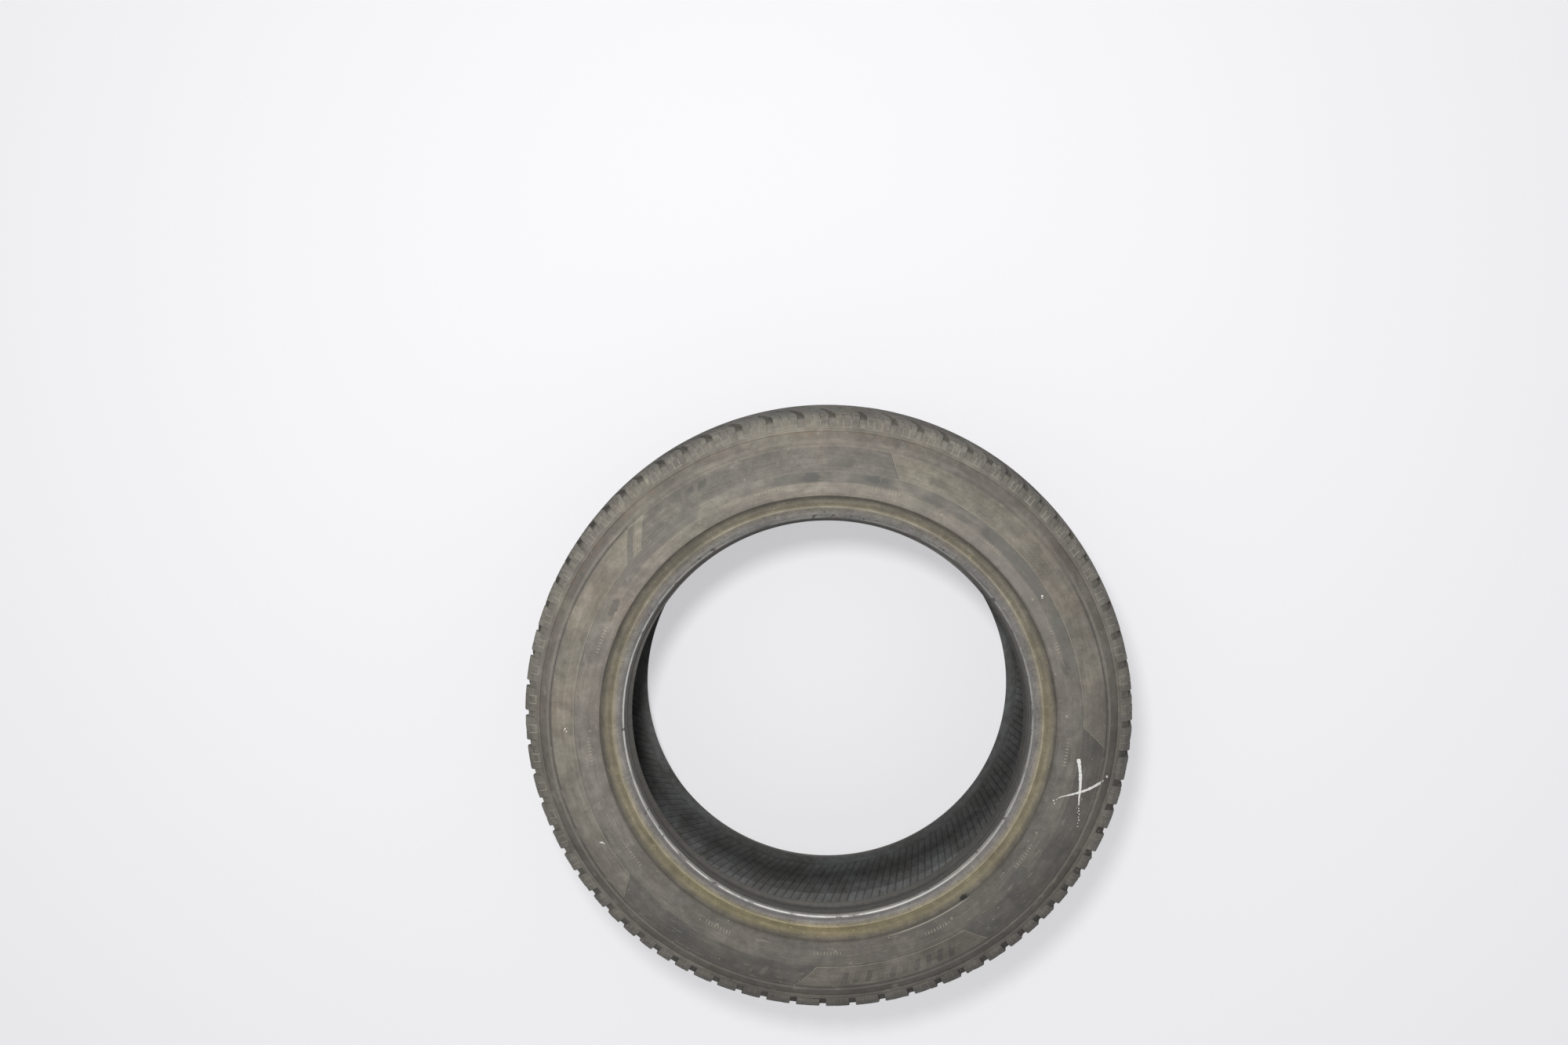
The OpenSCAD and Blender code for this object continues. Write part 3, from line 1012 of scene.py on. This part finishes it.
DEEP_GROOVE_SHADE = tone(58, 56, 53)
GROOVE_GRIT = tone(150, 143, 128)
LINER_MARBLE = [(0.34, tone(100, 99, 97)), (0.5, tone(112, 113, 113)), (0.66, tone(124, 126, 127))]
LINER_DUST = tone(178, 176, 172)
LINER_FLECK = tone(214, 213, 209)
BAR_DUST = tone(122, 117, 108)
FRESH_PAINT = tone(240, 240, 237)
THIN_PAINT = tone(128, 124, 117)

HEEL_LINE_R = 205.1     # radius of the painted highlight line on the heel
HEEL_LINE_SHIFT = 0.9   # how far that line lies off centre
DARK_STRIP_OUT = 3.1        # how far outside it the dark strip lies
SECOND_IN = 1.7         # how far inside it the second painted highlight line lies
TEAR_AT = 307.4         # azimuth of the torn spot at the guard, in degrees
TORN_EDGE_FROM = 284    # where the pale edge beside it begins
SCRAPE_AT = 127.3       # azimuth of the pale scrape on the shoulder


def skin_base(f, wander=0.9):
    """Zone colours by radius, with drifts of dust and patches of olive, rust and grey over them, and painted
    light and shade that change round the tyre.
    """
    spot = f.window(f.drift(f.radius, 38, wander * MM), RAMP_LOW, RAMP_HIGH)
    stops = [((r * MM - RAMP_LOW) / (RAMP_HIGH - RAMP_LOW), tone(*c)) for r, c in SKIN_COLOURS]
    colour = f.ramp(spot, stops)
    colour = f.coat(colour, OLIVE_DUST, f.patches(11, 0.48, 0.62, 5, 0.62), 0.24)
    colour = f.coat(colour, RUSTY_DUST, f.patches(15, 0.52, 0.68, 5, 0.6, 0.6), 0.18)
    for pattern, gains in (
            (f.noise(24, 5, 0.62, 0.5), [(0.36, 0.87), (0.5, 1.0), (0.64, 1.12)]),
            (f.noise(43, 4, 0.6, 0.8), [(0.47, 0.93), (0.5, 1.0), (0.55, 1.0), (0.57, 1.07)]),
            (f.noise(130, 4, 0.6), [(0.34, 0.9), (0.5, 1.0), (0.66, 1.1)]),
            (f.streaks_round(4, 110, 4), [(0.32, 0.86), (0.5, 1.0), (0.68, 1.12)]),
            (f.streaks_round(7, 520, 3), [(0.3, 0.9), (0.5, 1.0), (0.75, 1.12)]),
            (f.noise(620, 2), [(0.3, 0.92), (0.7, 1.08)])):
        colour = f.shade(colour, pattern, gains)
    # Dust and painted light lie thickest on one side of the wall. The bead and the channel change much less
    # all round, by painted light and shade.
    side = f.window(f.drift(f.dust_and_light, 7, 1.4), -1.2, 1.2)
    gain = f.blend(f.beyond(212.5, 214.5), f.ramp(side, BEAD_LIGHT_GAIN), f.ramp(side, CHANNEL_LIGHT_GAIN))
    gain = f.blend(f.beyond(225.2, 227.5), gain, f.ramp(side, WALL_DUST_AND_LIGHT_GAIN))
    return f.gain(colour, gain)


def in_panels(f):
    """1 on the dull panels of the wall, 0 beside them."""
    inward = f.over(f.minus(PANEL_OUT_R * MM, f.radius), (PANEL_OUT_R - PANEL_IN_R) * MM)
    total = 0.0
    for out_start, in_start, out_end, in_end in PANELS:
        start = f.plus(f.times(inward, in_start - out_start), out_start)
        width = f.plus(f.times(inward, in_end - in_start - out_end + out_start), out_end - out_start)
        past = f.past(start)
        inside = f.times(f.window(f.minus(width, past), 0.0, 0.4), f.window(past, 0.0, 0.4))
        total = f.math("MAXIMUM", total, inside)
    return f.times(total, f.band(PANEL_IN_R - 0.6, PANEL_OUT_R + 0.7, 0.6))


def near_spot(f, place, azimuth, half_sizes, ragged):
    """1 inside a ragged ellipse on the tyre, whose half sizes run outwards, along the turn and up."""
    local = f.node("ShaderNodeMapping", {
        "Vector": f.place, "Location": tuple(place), "Rotation": (0, 0, math.radians(azimuth)),
        "Scale": tuple(size * MM for size in half_sizes)}, vector_type="TEXTURE").outputs[0]
    away = f.node("ShaderNodeVectorMath", {0: local}, operation="LENGTH").outputs["Value"]
    return f.window(f.drift(away, 230, ragged, 0.65), 1.05, 0.6)


def wall_marks(f, colour):
    """Dull panels, dirty ring lines, smudges, scrapes and rust between the guard and the tread."""
    panel = in_panels(f)
    colour = f.gain(colour, PANEL_LEVEL, panel)
    colour = f.gain(colour, PLAIN_LEVEL, f.times(f.minus(1.0, panel), f.band(250.5, 275.5, 1.5)))
    # Dirt fills the line beside the shoulder, and the ridge next to it is rubbed pale.
    past = f.past(LINES_START)
    lines = f.times(f.window(past, 0, 5), f.window(past, LINES_LENGTH, LINES_LENGTH - 8))
    lines = f.plus(f.times(lines, 0.75), 0.25)
    groove = f.times(lines, f.band(LINE_GROOVE_R - 0.9, LINE_GROOVE_R + 0.8, 0.4))
    colour = f.coat(colour, LINE_DIRT, groove, 0.6)
    ridge = f.times(lines, f.band(LINE_RIDGE_R - 1.0, LINE_RIDGE_R + 1.0, 0.5))
    colour = f.coat(colour, RUBBED_RIDGE, ridge, 0.45)
    # Dust above the guard, then a darker arc, dark smudges and pale scrapes on the widest band.
    above = f.times(f.by_turn(GUARD_DUST_ROUND), f.band(227.5, 240.5, 2))
    colour = f.coat(colour, GUARD_DUST, above, 0.45)
    arc = f.times(f.by_turn(DARK_ARC_ROUND), f.band(240, 251.5, 1.2), f.patches(26, 0.36, 0.5, 3))
    colour = f.coat(colour, ARC_RUBBER, arc, 0.7)
    for azimuth, r, across, along in SMUDGES:
        spot = near_spot(f, on_round(r, azimuth, HALF_W), azimuth, (across, along, 12), 1.6)
        colour = f.coat(colour, SMUDGE, spot, 0.55)
    smudge = f.times(f.patches(19, 0.62, 0.7, 3, 0.5), f.band(229, 281, 6))
    colour = f.coat(colour, SOFT_SMUDGE, smudge, 0.35)
    scrape = f.times(f.window(f.streaks_round(14, 420, 3), 0.62, 0.7), f.band(228, 300, 4))
    colour = f.coat(colour, SCRAPE, scrape, 0.3)
    rusty = f.times(f.band(283, 290, 1.5), f.patches(95, 0.52, 0.62, 4, 0.7), f.window(f.dust_and_light, 0.3, 0.8))
    return f.coat(colour, RUST_SPECK, rusty, 0.4)


def bead_marks(f, colour):
    """The bead is flecked, with a dark strip outside the heel and a painted highlight as a bright line along
    the polished heel.
    """
    bead = f.band(203.4, 214.0, 1.0)
    # Painted light and shade on the bead face, changing round the tyre.
    colour = f.gain(colour, f.by_turn(BEAD_FACE_LIGHT_ROUND), f.band(207, 214.5, 1.5))
    colour = f.coat(colour, BEAD_FLECK, f.times(bead, f.patches(380, 0.54, 0.64, 4, 0.75)), 0.6)
    colour = f.coat(colour, PALE_FLECK, f.times(bead, f.patches(300, 0.56, 0.66, 4, 0.75, 0.4)), 0.3)
    heel_r = f.plus(f.times(f.aside, -HEEL_LINE_SHIFT * MM), HEEL_LINE_R * MM)
    from_heel = f.over(f.minus(f.radius, heel_r), MM)
    from_strip = f.math("ABSOLUTE", f.drift(f.minus(from_heel, DARK_STRIP_OUT), 60, 1.6))
    dark_strip = f.times(f.by_turn(DARK_STRIP_ROUND), f.window(from_strip, 1.9, 0.8))
    colour = f.coat(colour, DARK_STRIP_TONE, dark_strip, 0.75)
    colour = f.coat(colour, PIT, f.times(f.band(206, 211.5, 0.5), f.specks(70, 0.1, 0.35)), 0.85)
    rubbed = f.times(bead, f.window(f.streaks_round(26, 1500, 3), 0.6, 0.74))
    colour = f.coat(colour, RUBBED_BEAD, rubbed, 0.3)
    # A painted highlight as a bright line along the polished heel, and a fainter second painted highlight
    # inside it.
    heel_highlight = f.times(f.by_turn(HEEL_HIGHLIGHT_ROUND), f.window(f.math("ABSOLUTE", from_heel), 1.0, 0.35),
                     f.window(f.streaks_round(9, 60, 4), 0.34, 0.48))
    colour = f.coat(colour, HEEL_HIGHLIGHT, heel_highlight)
    from_second = f.math("ABSOLUTE", f.plus(from_heel, SECOND_IN))
    second = f.times(f.by_turn(SECOND_HIGHLIGHT_ROUND), f.window(from_second, 0.6, 0.2),
                     f.window(f.streaks_round(8, 50, 4), 0.4, 0.55))
    colour = f.coat(colour, SECOND_HIGHLIGHT, second, 0.6)
    nicks = f.times(f.band(203.2, 207.5, 0.6), f.patches(130, 0.64, 0.68, 2))
    return f.coat(colour, NICK, nicks, 0.75)


def channel_dust(f, colour):
    """Golden dust and grit in the channel, dirt under the guard, and pale specks all over."""
    colour = f.gain(colour, GOLDEN_LEVEL, f.times(f.by_turn(GOLDEN_ROUND), f.band(211.5, 225, 3)))
    gritty = f.times(f.band(213.2, 226, 0.8), f.patches(210, 0.6, 0.7, 4, 0.7))
    colour = f.coat(colour, GOLDEN_GRIT, gritty, 0.55)
    under_guard = f.times(f.band(223.5, 226.2, 1.0), f.patches(60, 0.45, 0.6))
    colour = f.coat(colour, CHANNEL_DIRT, under_guard, 0.22)
    colour = f.coat(colour, PALE_SPECK, f.specks(210, 0.16, 0.05), 0.6)
    return f.coat(colour, WHITE_SPECK, f.specks(75, 0.035, 0.2))


def seat_and_toe(f, colour):
    """The seat has tones that change round the tyre, and the toe gets painted light and shade that change
    round it.
    """
    seat = f.shade(f.by_turn(SEAT_ROUND), f.noise(150, 4, 0.65), [(0.36, 0.85), (0.5, 1.0), (0.64, 1.15)])
    colour = f.coat(colour, seat, f.beyond(203.8, 203.1), 0.85)
    # Painted light and shade on the toe.
    return f.gain(colour, f.by_turn(TOE_LIGHT_AND_SHADE_ROUND), f.beyond(201.9, 200.9))


def torn_guard(f, colour):
    """A torn spot at the guard, with a pale edge running on from it."""
    past = f.past(TORN_EDGE_FROM)
    edge = f.times(f.band(227.0, 228.6, 0.5), f.window(past, 0, 6), f.window(past, 25, 22))
    colour = f.coat(colour, TORN_EDGE, edge, 0.8)
    tear = near_spot(f, on_round(225.9, TEAR_AT, GUARD_X), TEAR_AT, (1.9, 6.6, 12), 1.3)
    return f.coat(colour, TORN_RUBBER, tear, 0.92)


def wall_rubber():
    f = Finish("weathered_wall_rubber")
    colour = skin_base(f)
    for marks in (wall_marks, bead_marks, channel_dust, seat_and_toe, torn_guard):
        colour = marks(f, colour)
    roughness = f.ramp(f.window(f.radius, RAMP_LOW, RAMP_HIGH), SKIN_ROUGHNESS)
    skin = f.bump(f.streaks_round(10, 900, 2), 0.1, under=f.grain(0.12))
    skin = f.bump(f.noise(48, 4), 0.6, under=skin)
    return f.finish(colour, f.drift(roughness, 120, 0.25), skin)


def raised_rubber(name, pale, clean):
    """Fine raised lines catch dust and wear pale, less so on the clean side of the tyre."""
    f = Finish(name)
    dust = f.plus(f.times(f.patches(70, 0.3, 0.7), 0.4), pale)
    side = f.plus(f.times(f.window(f.dust_and_light, -0.6, 0.4), 1 - clean), clean)
    colour = f.coat(skin_base(f), RAISED_DUST, f.times(dust, side))
    return f.finish(colour, 0.78, f.grain(0.1))


def panel_rubber():
    """The hatching of the dull panels, worn off in patches."""
    f = Finish("hatched_panel_rubber")
    colour = f.gain(skin_base(f), HATCHING_LEVEL)
    colour = f.coat(colour, BARE_PANEL, f.patches(34, 0.5, 0.62, 5, 0.6, 0.8), 0.35)
    return f.finish(colour, 0.82, f.grain(0.1))


def tread_rubber():
    """Bare worn rubber on the blocks, with dust and painted highlights on the shoulder and pale scuffs on
    the crown.
    """
    f = Finish("worn_tread_rubber")
    colour = skin_base(f, 2.2)
    # Pale lobes on the shoulder: partly dust, partly painted highlights on the block ends.
    lobes = f.times(f.patches(62, 0.52, 0.6, 3, 0.5, 0.5), f.band(295, 308, 3),
                    f.window(f.dust_and_light, -0.2, 0.7))
    colour = f.coat(colour, SHOULDER_DUST_AND_HIGHLIGHT, lobes, 0.5)
    colour = f.coat(colour, CROWN_SCUFF, f.patches(90, 0.5, 0.75, 6, 0.7), 0.3)
    scraped = near_spot(f, on_round(298, SCRAPE_AT, 83.5), SCRAPE_AT, (5, 6.5, 8), 0.9)
    colour = f.coat(colour, PALE_SCRAPE, scraped, 0.6)
    colour = f.coat(colour, RUBBED_CROWN, f.window(f.streaks_round(30, 260, 3), 0.55, 0.75), 0.18)
    colour = f.coat(colour, TREAD_SPECK, f.specks(330, 0.2, 0.06), 0.6)
    grain = f.bump(f.noise(160, 4), 0.35, under=f.bump(f.noise(700, 4, 0.7), 0.25))
    return f.finish(colour, f.ramp(f.noise(60, 4), [(0.3, 0.62), (0.7, 0.86)]), grain)


def groove_rubber():
    """The groove floors are dull and gritty. Dust fills their ends on the side of the tyre where the most
    dust lies. The deep floors under the crown get painted shade.
    """
    f = Finish("dusty_groove_rubber")
    colour = f.coat(GROOVE_RUBBER, GROOVE_DUST, f.window(f.drift(f.dust_and_light, 16, 1.6), -0.9, 0.9))
    colour = f.shade(colour, f.noise(80, 5, 0.65), [(0.36, 0.75), (0.5, 1.0), (0.64, 1.2)])
    # Painted shade on the deep groove floors under the crown.
    colour = f.coat(colour, DEEP_GROOVE_SHADE, f.beyond(299.5, 303.5), 0.5)
    colour = f.coat(colour, GROOVE_GRIT, f.specks(300, 0.25, 0.1))
    return f.finish(colour, 0.9, f.bump(f.noise(500, 4), 0.3))


def liner_rubber(name, level):
    """The inner lining: charcoal, faintly marbled, with dust and small pale flecks. A level below 1 paints
    shade on it, except near the toe.
    """
    f = Finish(name)
    colour = f.ramp(f.noise(18, 5, 0.6, 1.0), LINER_MARBLE)
    spot = f.window(f.plus(f.radius, f.times(f.noise(60, 3), 6 * MM)), 0.2, 0.29)
    colour = f.shade(colour, spot, [(0.08, 1.2), (0.2, 0.9), (0.34, 0.6), (0.52, 0.9), (0.7, 1.05)])
    # The liner between the ribs is painted darker by the level, as painted shade in the gaps; near the toe,
    # where the ribs end, it goes back to full brightness.
    level = f.plus(level, f.times(f.beyond(213, 208), 1 - level))
    colour = f.gain(colour, f.join(level, level, level))
    colour = f.shade(colour, f.noise(140, 4, 0.65), [(0.36, 0.84), (0.5, 1.0), (0.64, 1.16)])
    colour = f.coat(colour, LINER_DUST, f.specks(240, 0.15, 0.07), 0.7)
    colour = f.coat(colour, LINER_FLECK, f.specks(90, 0.05, 0.25))
    roughness = f.ramp(f.noise(50, 4), [(0.3, 0.5), (0.7, 0.7)])
    return f.finish(colour, roughness, f.bump(f.noise(600, 3), 0.12))


def bar_rubber():
    """The plain bars on the wall are smooth, and stay darker than the wall round them."""
    f = Finish("smooth_bar_rubber")
    colour = f.gain(skin_base(f), BAR_LEVEL)
    colour = f.coat(colour, BAR_DUST, f.patches(55, 0.48, 0.6, 4, 0.6), 0.5)
    return f.finish(colour, 0.68, f.grain(0.08))


def white_paint():
    """A hand-drawn mark, rubbed thin in places."""
    f = Finish("white_marking_paint")
    colour = f.coat(FRESH_PAINT, THIN_PAINT, f.patches(520, 0.54, 0.64, 5, 0.75), 0.75)
    return f.finish(colour, 0.6, f.grain(0.1))


# ------------------------------------------------------------------ lines laid on the wall
RIBBON_FOOT = -0.1      # how deep the foot of a laid line sits in the wall


def laid_line(shell, line, widths, height):
    """A closed flat ribbon along (azimuth, radius) points on the outboard wall."""
    rows = []
    for (azimuth, r), width in zip(line, widths):
        (pr, px), out = SKIN.point(SKIN.at_r(r))
        a = math.radians(azimuth)
        spot = on_round(pr, azimuth, px)
        up = Vector((out[0] * math.cos(a), out[0] * math.sin(a), out[1]))
        rows.append((spot, up, width))
    corners = []
    for k, (spot, up, width) in enumerate(rows):
        ahead = rows[min(k + 1, len(rows) - 1)][0] - rows[max(k - 1, 0)][0]
        side = ahead.cross(up).normalized() * width / 2 * MM
        low = up * RIBBON_FOOT * MM
        high = up * height * MM
        corners.append([shell.verts.new(spot + v) for v in (
            -side + low, -side * 0.8 + high, side * 0.8 + high, side + low)])
    for a, b in zip(corners, corners[1:]):
        for k in range(4):
            shell.faces.new((a[k], a[(k + 1) % 4], b[(k + 1) % 4], b[k]))
    shell.faces.new(corners[0])
    shell.faces.new(list(reversed(corners[-1])))


DEGREE_MM = 4.5         # about how long a degree of the wall is


def between(line, step):
    """Adds points along a line of (azimuth, radius, width) corners."""
    points = []
    for a, b in zip(line, line[1:]):
        count = max(1, int(math.dist((a[0] * DEGREE_MM, a[1]), (b[0] * DEGREE_MM, b[1])) / step))
        points += [tuple(a[i] + (b[i] - a[i]) * k / count for i in range(3)) for k in range(count)]
    points.append(line[-1])
    return points


def shell_piece(name, shell, finish):
    bmesh.ops.recalc_face_normals(shell, faces=shell.faces)
    mesh = bpy.data.meshes.new(name)
    shell.to_mesh(mesh)
    shell.free()
    mesh.materials.append(finish)
    return new_piece(name, mesh)


BORDER_W = 0.8
BORDER_HEIGHT = 0.28
PAINT_HEIGHT = 0.12


def panel_borders(finish):
    """A low raised line along both ends and the inner edge of each dull panel."""
    shell = bmesh.new()
    for out_start, in_start, out_end, in_end in PANELS:
        inner_start = (in_start, PANEL_IN_R, BORDER_W)
        inner_end = (in_end, PANEL_IN_R, BORDER_W)
        for line in ([(out_start, PANEL_OUT_R, BORDER_W), inner_start],
                     [(out_end, PANEL_OUT_R, BORDER_W), inner_end], [inner_start, inner_end]):
            points = between(line, 3)
            laid_line(shell, [(a, r) for a, r, w in points], [w for a, r, w in points], BORDER_HEIGHT)
    return shell_piece("panel_borders", shell, finish)


def paint_marks(finish):
    """The hand-drawn cross and a few stray drops."""
    chance = random.Random(11)
    shell = bmesh.new()
    long_stroke = [(341.9, 241, 0.6), (342.6, 244, 1.0), (344.2, 256, 2.2), (345.5, 266, 2.9),
                   (346.6, 274, 3.4), (347.3, 279, 3.2), (347.8, 281.5, 2.0)]
    short_stroke = [(341.8, 262.8, 0.9), (343.5, 260.5, 2.0), (346, 258.3, 2.9), (349, 255, 3.4),
                    (351.6, 251.2, 3.9), (352.1, 250.6, 3.2)]
    for stroke in (long_stroke, short_stroke):
        points = between(stroke, 1.2)
        line = [(a + chance.uniform(-0.03, 0.03), r) for a, r, w in points]
        widths = [w * chance.uniform(0.8, 1.14) for a, r, w in points]
        laid_line(shell, line, widths, PAINT_HEIGHT)
    drops = [(348.6, 284.8, 3.0), (341.0, 237.5, 1.6), (340.4, 239.2, 1.2), (341.5, 239.8, 1.0),
             (337.2, 270.8, 1.3), (337.9, 269.4, 1.0), (338.6, 268.9, 1.5), (339.2, 267.2, 1.2),
             (339.9, 266.6, 1.4), (340.6, 265.0, 1.6), (341.1, 263.9, 1.2), (340.2, 264.2, 0.9),
             (181.3, 261.0, 1.8), (181.9, 259.8, 1.5), (181.6, 262.1, 1.1), (208.5, 257.3, 2.4),
             (208.9, 255.8, 1.6), (208.3, 259.0, 1.2), (31.6, 245.7, 2.2), (31.2, 244.6, 1.3)]
    for azimuth, r, size in drops:
        turn = chance.uniform(0, math.pi)
        reach = size * 0.5
        step_a = math.degrees(reach * math.cos(turn) / r)
        step_r = reach * math.sin(turn)
        line = [(azimuth - step_a, r - step_r), (azimuth - step_a * 0.4, r - step_r * 0.4),
                (azimuth + step_a * 0.4, r + step_r * 0.4), (azimuth + step_a, r + step_r)]
        laid_line(shell, line, [size * 0.3, size * 0.9, size * 0.8, size * 0.3], PAINT_HEIGHT)
    return shell_piece("paint_marks", shell, finish)


# ------------------------------------------------------------------ camera, lights and floor
CAMERA_PLACE = (-0.0106, 0.3668, 1.5686)
CAMERA_TURN = Matrix(((0.99972, 0.0, 0.02317), (-0.0028, 0.99267, 0.12077), (-0.0230, -0.1208, 0.9924)))
CAMERA_LENS = 32.4
KEY_PLACE = (-0.14, 0.62, 1.62)
FLOOR_HALF = 14.0
BACKDROP = tone(220, 220, 223)


def camera():
    data = bpy.data.cameras.new("camera")
    data.lens = CAMERA_LENS
    data.sensor_width = 36
    data.clip_end = 50
    eye = bpy.data.objects.new("camera", data)
    bpy.context.scene.collection.objects.link(eye)
    turn = CAMERA_TURN.to_quaternion().to_matrix().to_4x4()
    eye.matrix_world = Matrix.Translation(CAMERA_PLACE) @ turn
    bpy.context.scene.camera = eye


def lamp(name, place, target, size, power, colour):
    data = bpy.data.lights.new(name, "AREA")
    data.shape = "DISK"
    data.size = size
    data.energy = power
    data.color = colour
    light = bpy.data.objects.new(name, data)
    light.location = place
    light.rotation_mode = "QUATERNION"
    light.rotation_quaternion = (Vector(target) - Vector(place)).to_track_quat("-Z", "Y")
    bpy.context.scene.collection.objects.link(light)


def studio():
    scene = bpy.context.scene
    scene.view_settings.view_transform = "Standard"
    world = bpy.data.worlds.new("studio")
    scene.world = world
    world.use_nodes = True
    g = Graph(world.node_tree)
    world.node_tree.nodes.clear()
    seen = g.node("ShaderNodeLightPath")
    lit = g.node("ShaderNodeBackground", {"Color": (1, 1, 1, 1), "Strength": 0.4}).outputs[0]
    pale = g.node("ShaderNodeBackground", {"Color": BACKDROP, "Strength": 1.0}).outputs[0]
    either = g.math("MAXIMUM", seen.outputs["Is Camera Ray"], seen.outputs["Is Glossy Ray"])
    mixed = g.node("ShaderNodeMixShader", {0: either, 1: lit, 2: pale}).outputs[0]
    g.node("ShaderNodeOutputWorld", {"Surface": mixed})
    lamp("key", KEY_PLACE, target=(0, 0, 0.1), size=0.2, power=14, colour=(1.0, 0.99, 0.97))


def floor():
    f = Finish("pale_floor")
    seen = f.node("ShaderNodeLightPath").outputs["Is Camera Ray"]
    colour = f.coat(tone(232, 232, 233), tone(196, 196, 199), seen)
    f.finish(colour, 0.9, specular=0.1)
    f.plug(f.shader.inputs["Emission Color"], tone(182, 182, 184))
    f.plug(f.shader.inputs["Emission Strength"], seen)
    mesh = bpy.data.meshes.new("floor")
    corners = [(x * FLOOR_HALF, y * FLOOR_HALF, 0) for x, y in ((-1, -1), (1, -1), (1, 1), (-1, 1))]
    mesh.from_pydata(corners, [], [(0, 1, 2, 3)])
    mesh.materials.append(f.material)
    new_piece("floor", mesh)


# ------------------------------------------------------------------ the tyre
camera()
studio()
floor()

WRAPPING = wrapping_tree()
skin_line = SKIN.curve("skin_line")
liner_line = LINER.curve("liner_line")
middle_line = MIDDLE.curve("middle_line")

wall = wall_rubber()
tread = tread_rubber()
raised = raised_rubber("raised_line_rubber", 0.22, 1)
shoulder_lines = raised_rubber("shoulder_line_rubber", 0.5, 0.35)
hatched = panel_rubber()
# The liner between the ribs takes painted shade, at this level.
liner = liner_rubber("shaded_inner_liner_rubber", 0.68)
ribs = liner_rubber("liner_rib_rubber", 1.0)

# The blocks swell and shrink in length round the tyre, and the inboard ones lie half a block further on.
lengths = [1 + PITCH_SPREAD / 2 * round(math.cos(2 * math.pi * PITCH_WAVES * (i + 0.5) / PITCHES))
           for i in range(PITCHES)]
half_pitch = math.pi / sum(lengths)
blocks = dict(Count=PITCHES, Pitch_spread=PITCH_SPREAD, Pitch_waves=PITCH_WAVES,
              Start_angle=math.radians(LONGEST_AT), Shift_radius=CROWN_R * MM, Inboard_turn=half_pitch)

made = [
    turned_carcass([wall, groove_rubber(), liner]),
    wrapped("shoulder_blocks", shoulder_block(), skin_line, tread,
            Wear=0.2 * MM, Chipping=9 * MM, **blocks),
    wrapped("middle_blocks", middle_block(), skin_line, tread,
            Wear=0.2 * MM, Chipping=5 * MM, **blocks),
    wrapped("middle_rib", rib_strip(), middle_line, tread,
            Count=PITCHES * 3, Shift_radius=CROWN_R * MM, Both_sides=False),
    wrapped("shoulder_marks", shoulder_marks(), skin_line, shoulder_lines, **blocks),
    wrapped("vent_stubs", vent_stub(), skin_line, raised,
            Count=VENTS, Start_angle=math.radians(VENTS_START), Shift_radius=VENT_R * MM),
    wrapped("mould_lines", mould_line(), skin_line, raised,
            Count=VENTS, Start_angle=math.radians(MOULD_LINES_START), Shift_radius=MOULD_LINE_R * MM),
    wrapped("liner_ribs", liner_rib(), liner_line, ribs,
            Count=LINER_RIBS, Shift_radius=LINER_RIB_R * MM, Inwards=True),
    panel_borders(raised),
    paint_marks(white_paint()),
    wrapped("wall_dashes", dash_group(), skin_line, raised,
            Count=DASH_GROUPS, Start_angle=math.radians(DASHES_START), Shift_radius=DASH_R * MM,
            Wear=0.1 * MM),
]

for number, (out_start, in_start, out_end, in_end) in enumerate(PANELS):
    arc = math.radians(out_end - out_start)
    slant = math.radians(in_start - out_start) * PANEL_OUT_R
    closing = slant + math.radians(out_end - in_end) * PANEL_OUT_R
    made.append(wrapped(
        f"panel_hatching_{number + 1}", panel_ridge(slant), skin_line, hatched,
        Count=int(arc * PANEL_OUT_R / HATCHING_STEP), Arc=arc, Start_angle=math.radians(out_start),
        Shift_radius=PANEL_OUT_R * MM, Anchor=SKIN.at_r(PANEL_OUT_R) * MM, End_run=closing * MM))

smooth = bar_rubber()
for number, (start, end, count) in enumerate(BAR_ROWS):
    made.append(wrapped(
        f"wall_bars_{number + 1}", slanted_bar(), skin_line, smooth,
        Count=count, Arc=math.radians(end - start), Start_angle=math.radians(start),
        Shift_radius=BAR_R * MM, Both_sides=False, Wear=0.14 * MM, Seed=number))

for line in (skin_line, liner_line, middle_line):
    bpy.data.objects.remove(line)

for piece in made:
    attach(piece, "root")
    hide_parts("tyre")
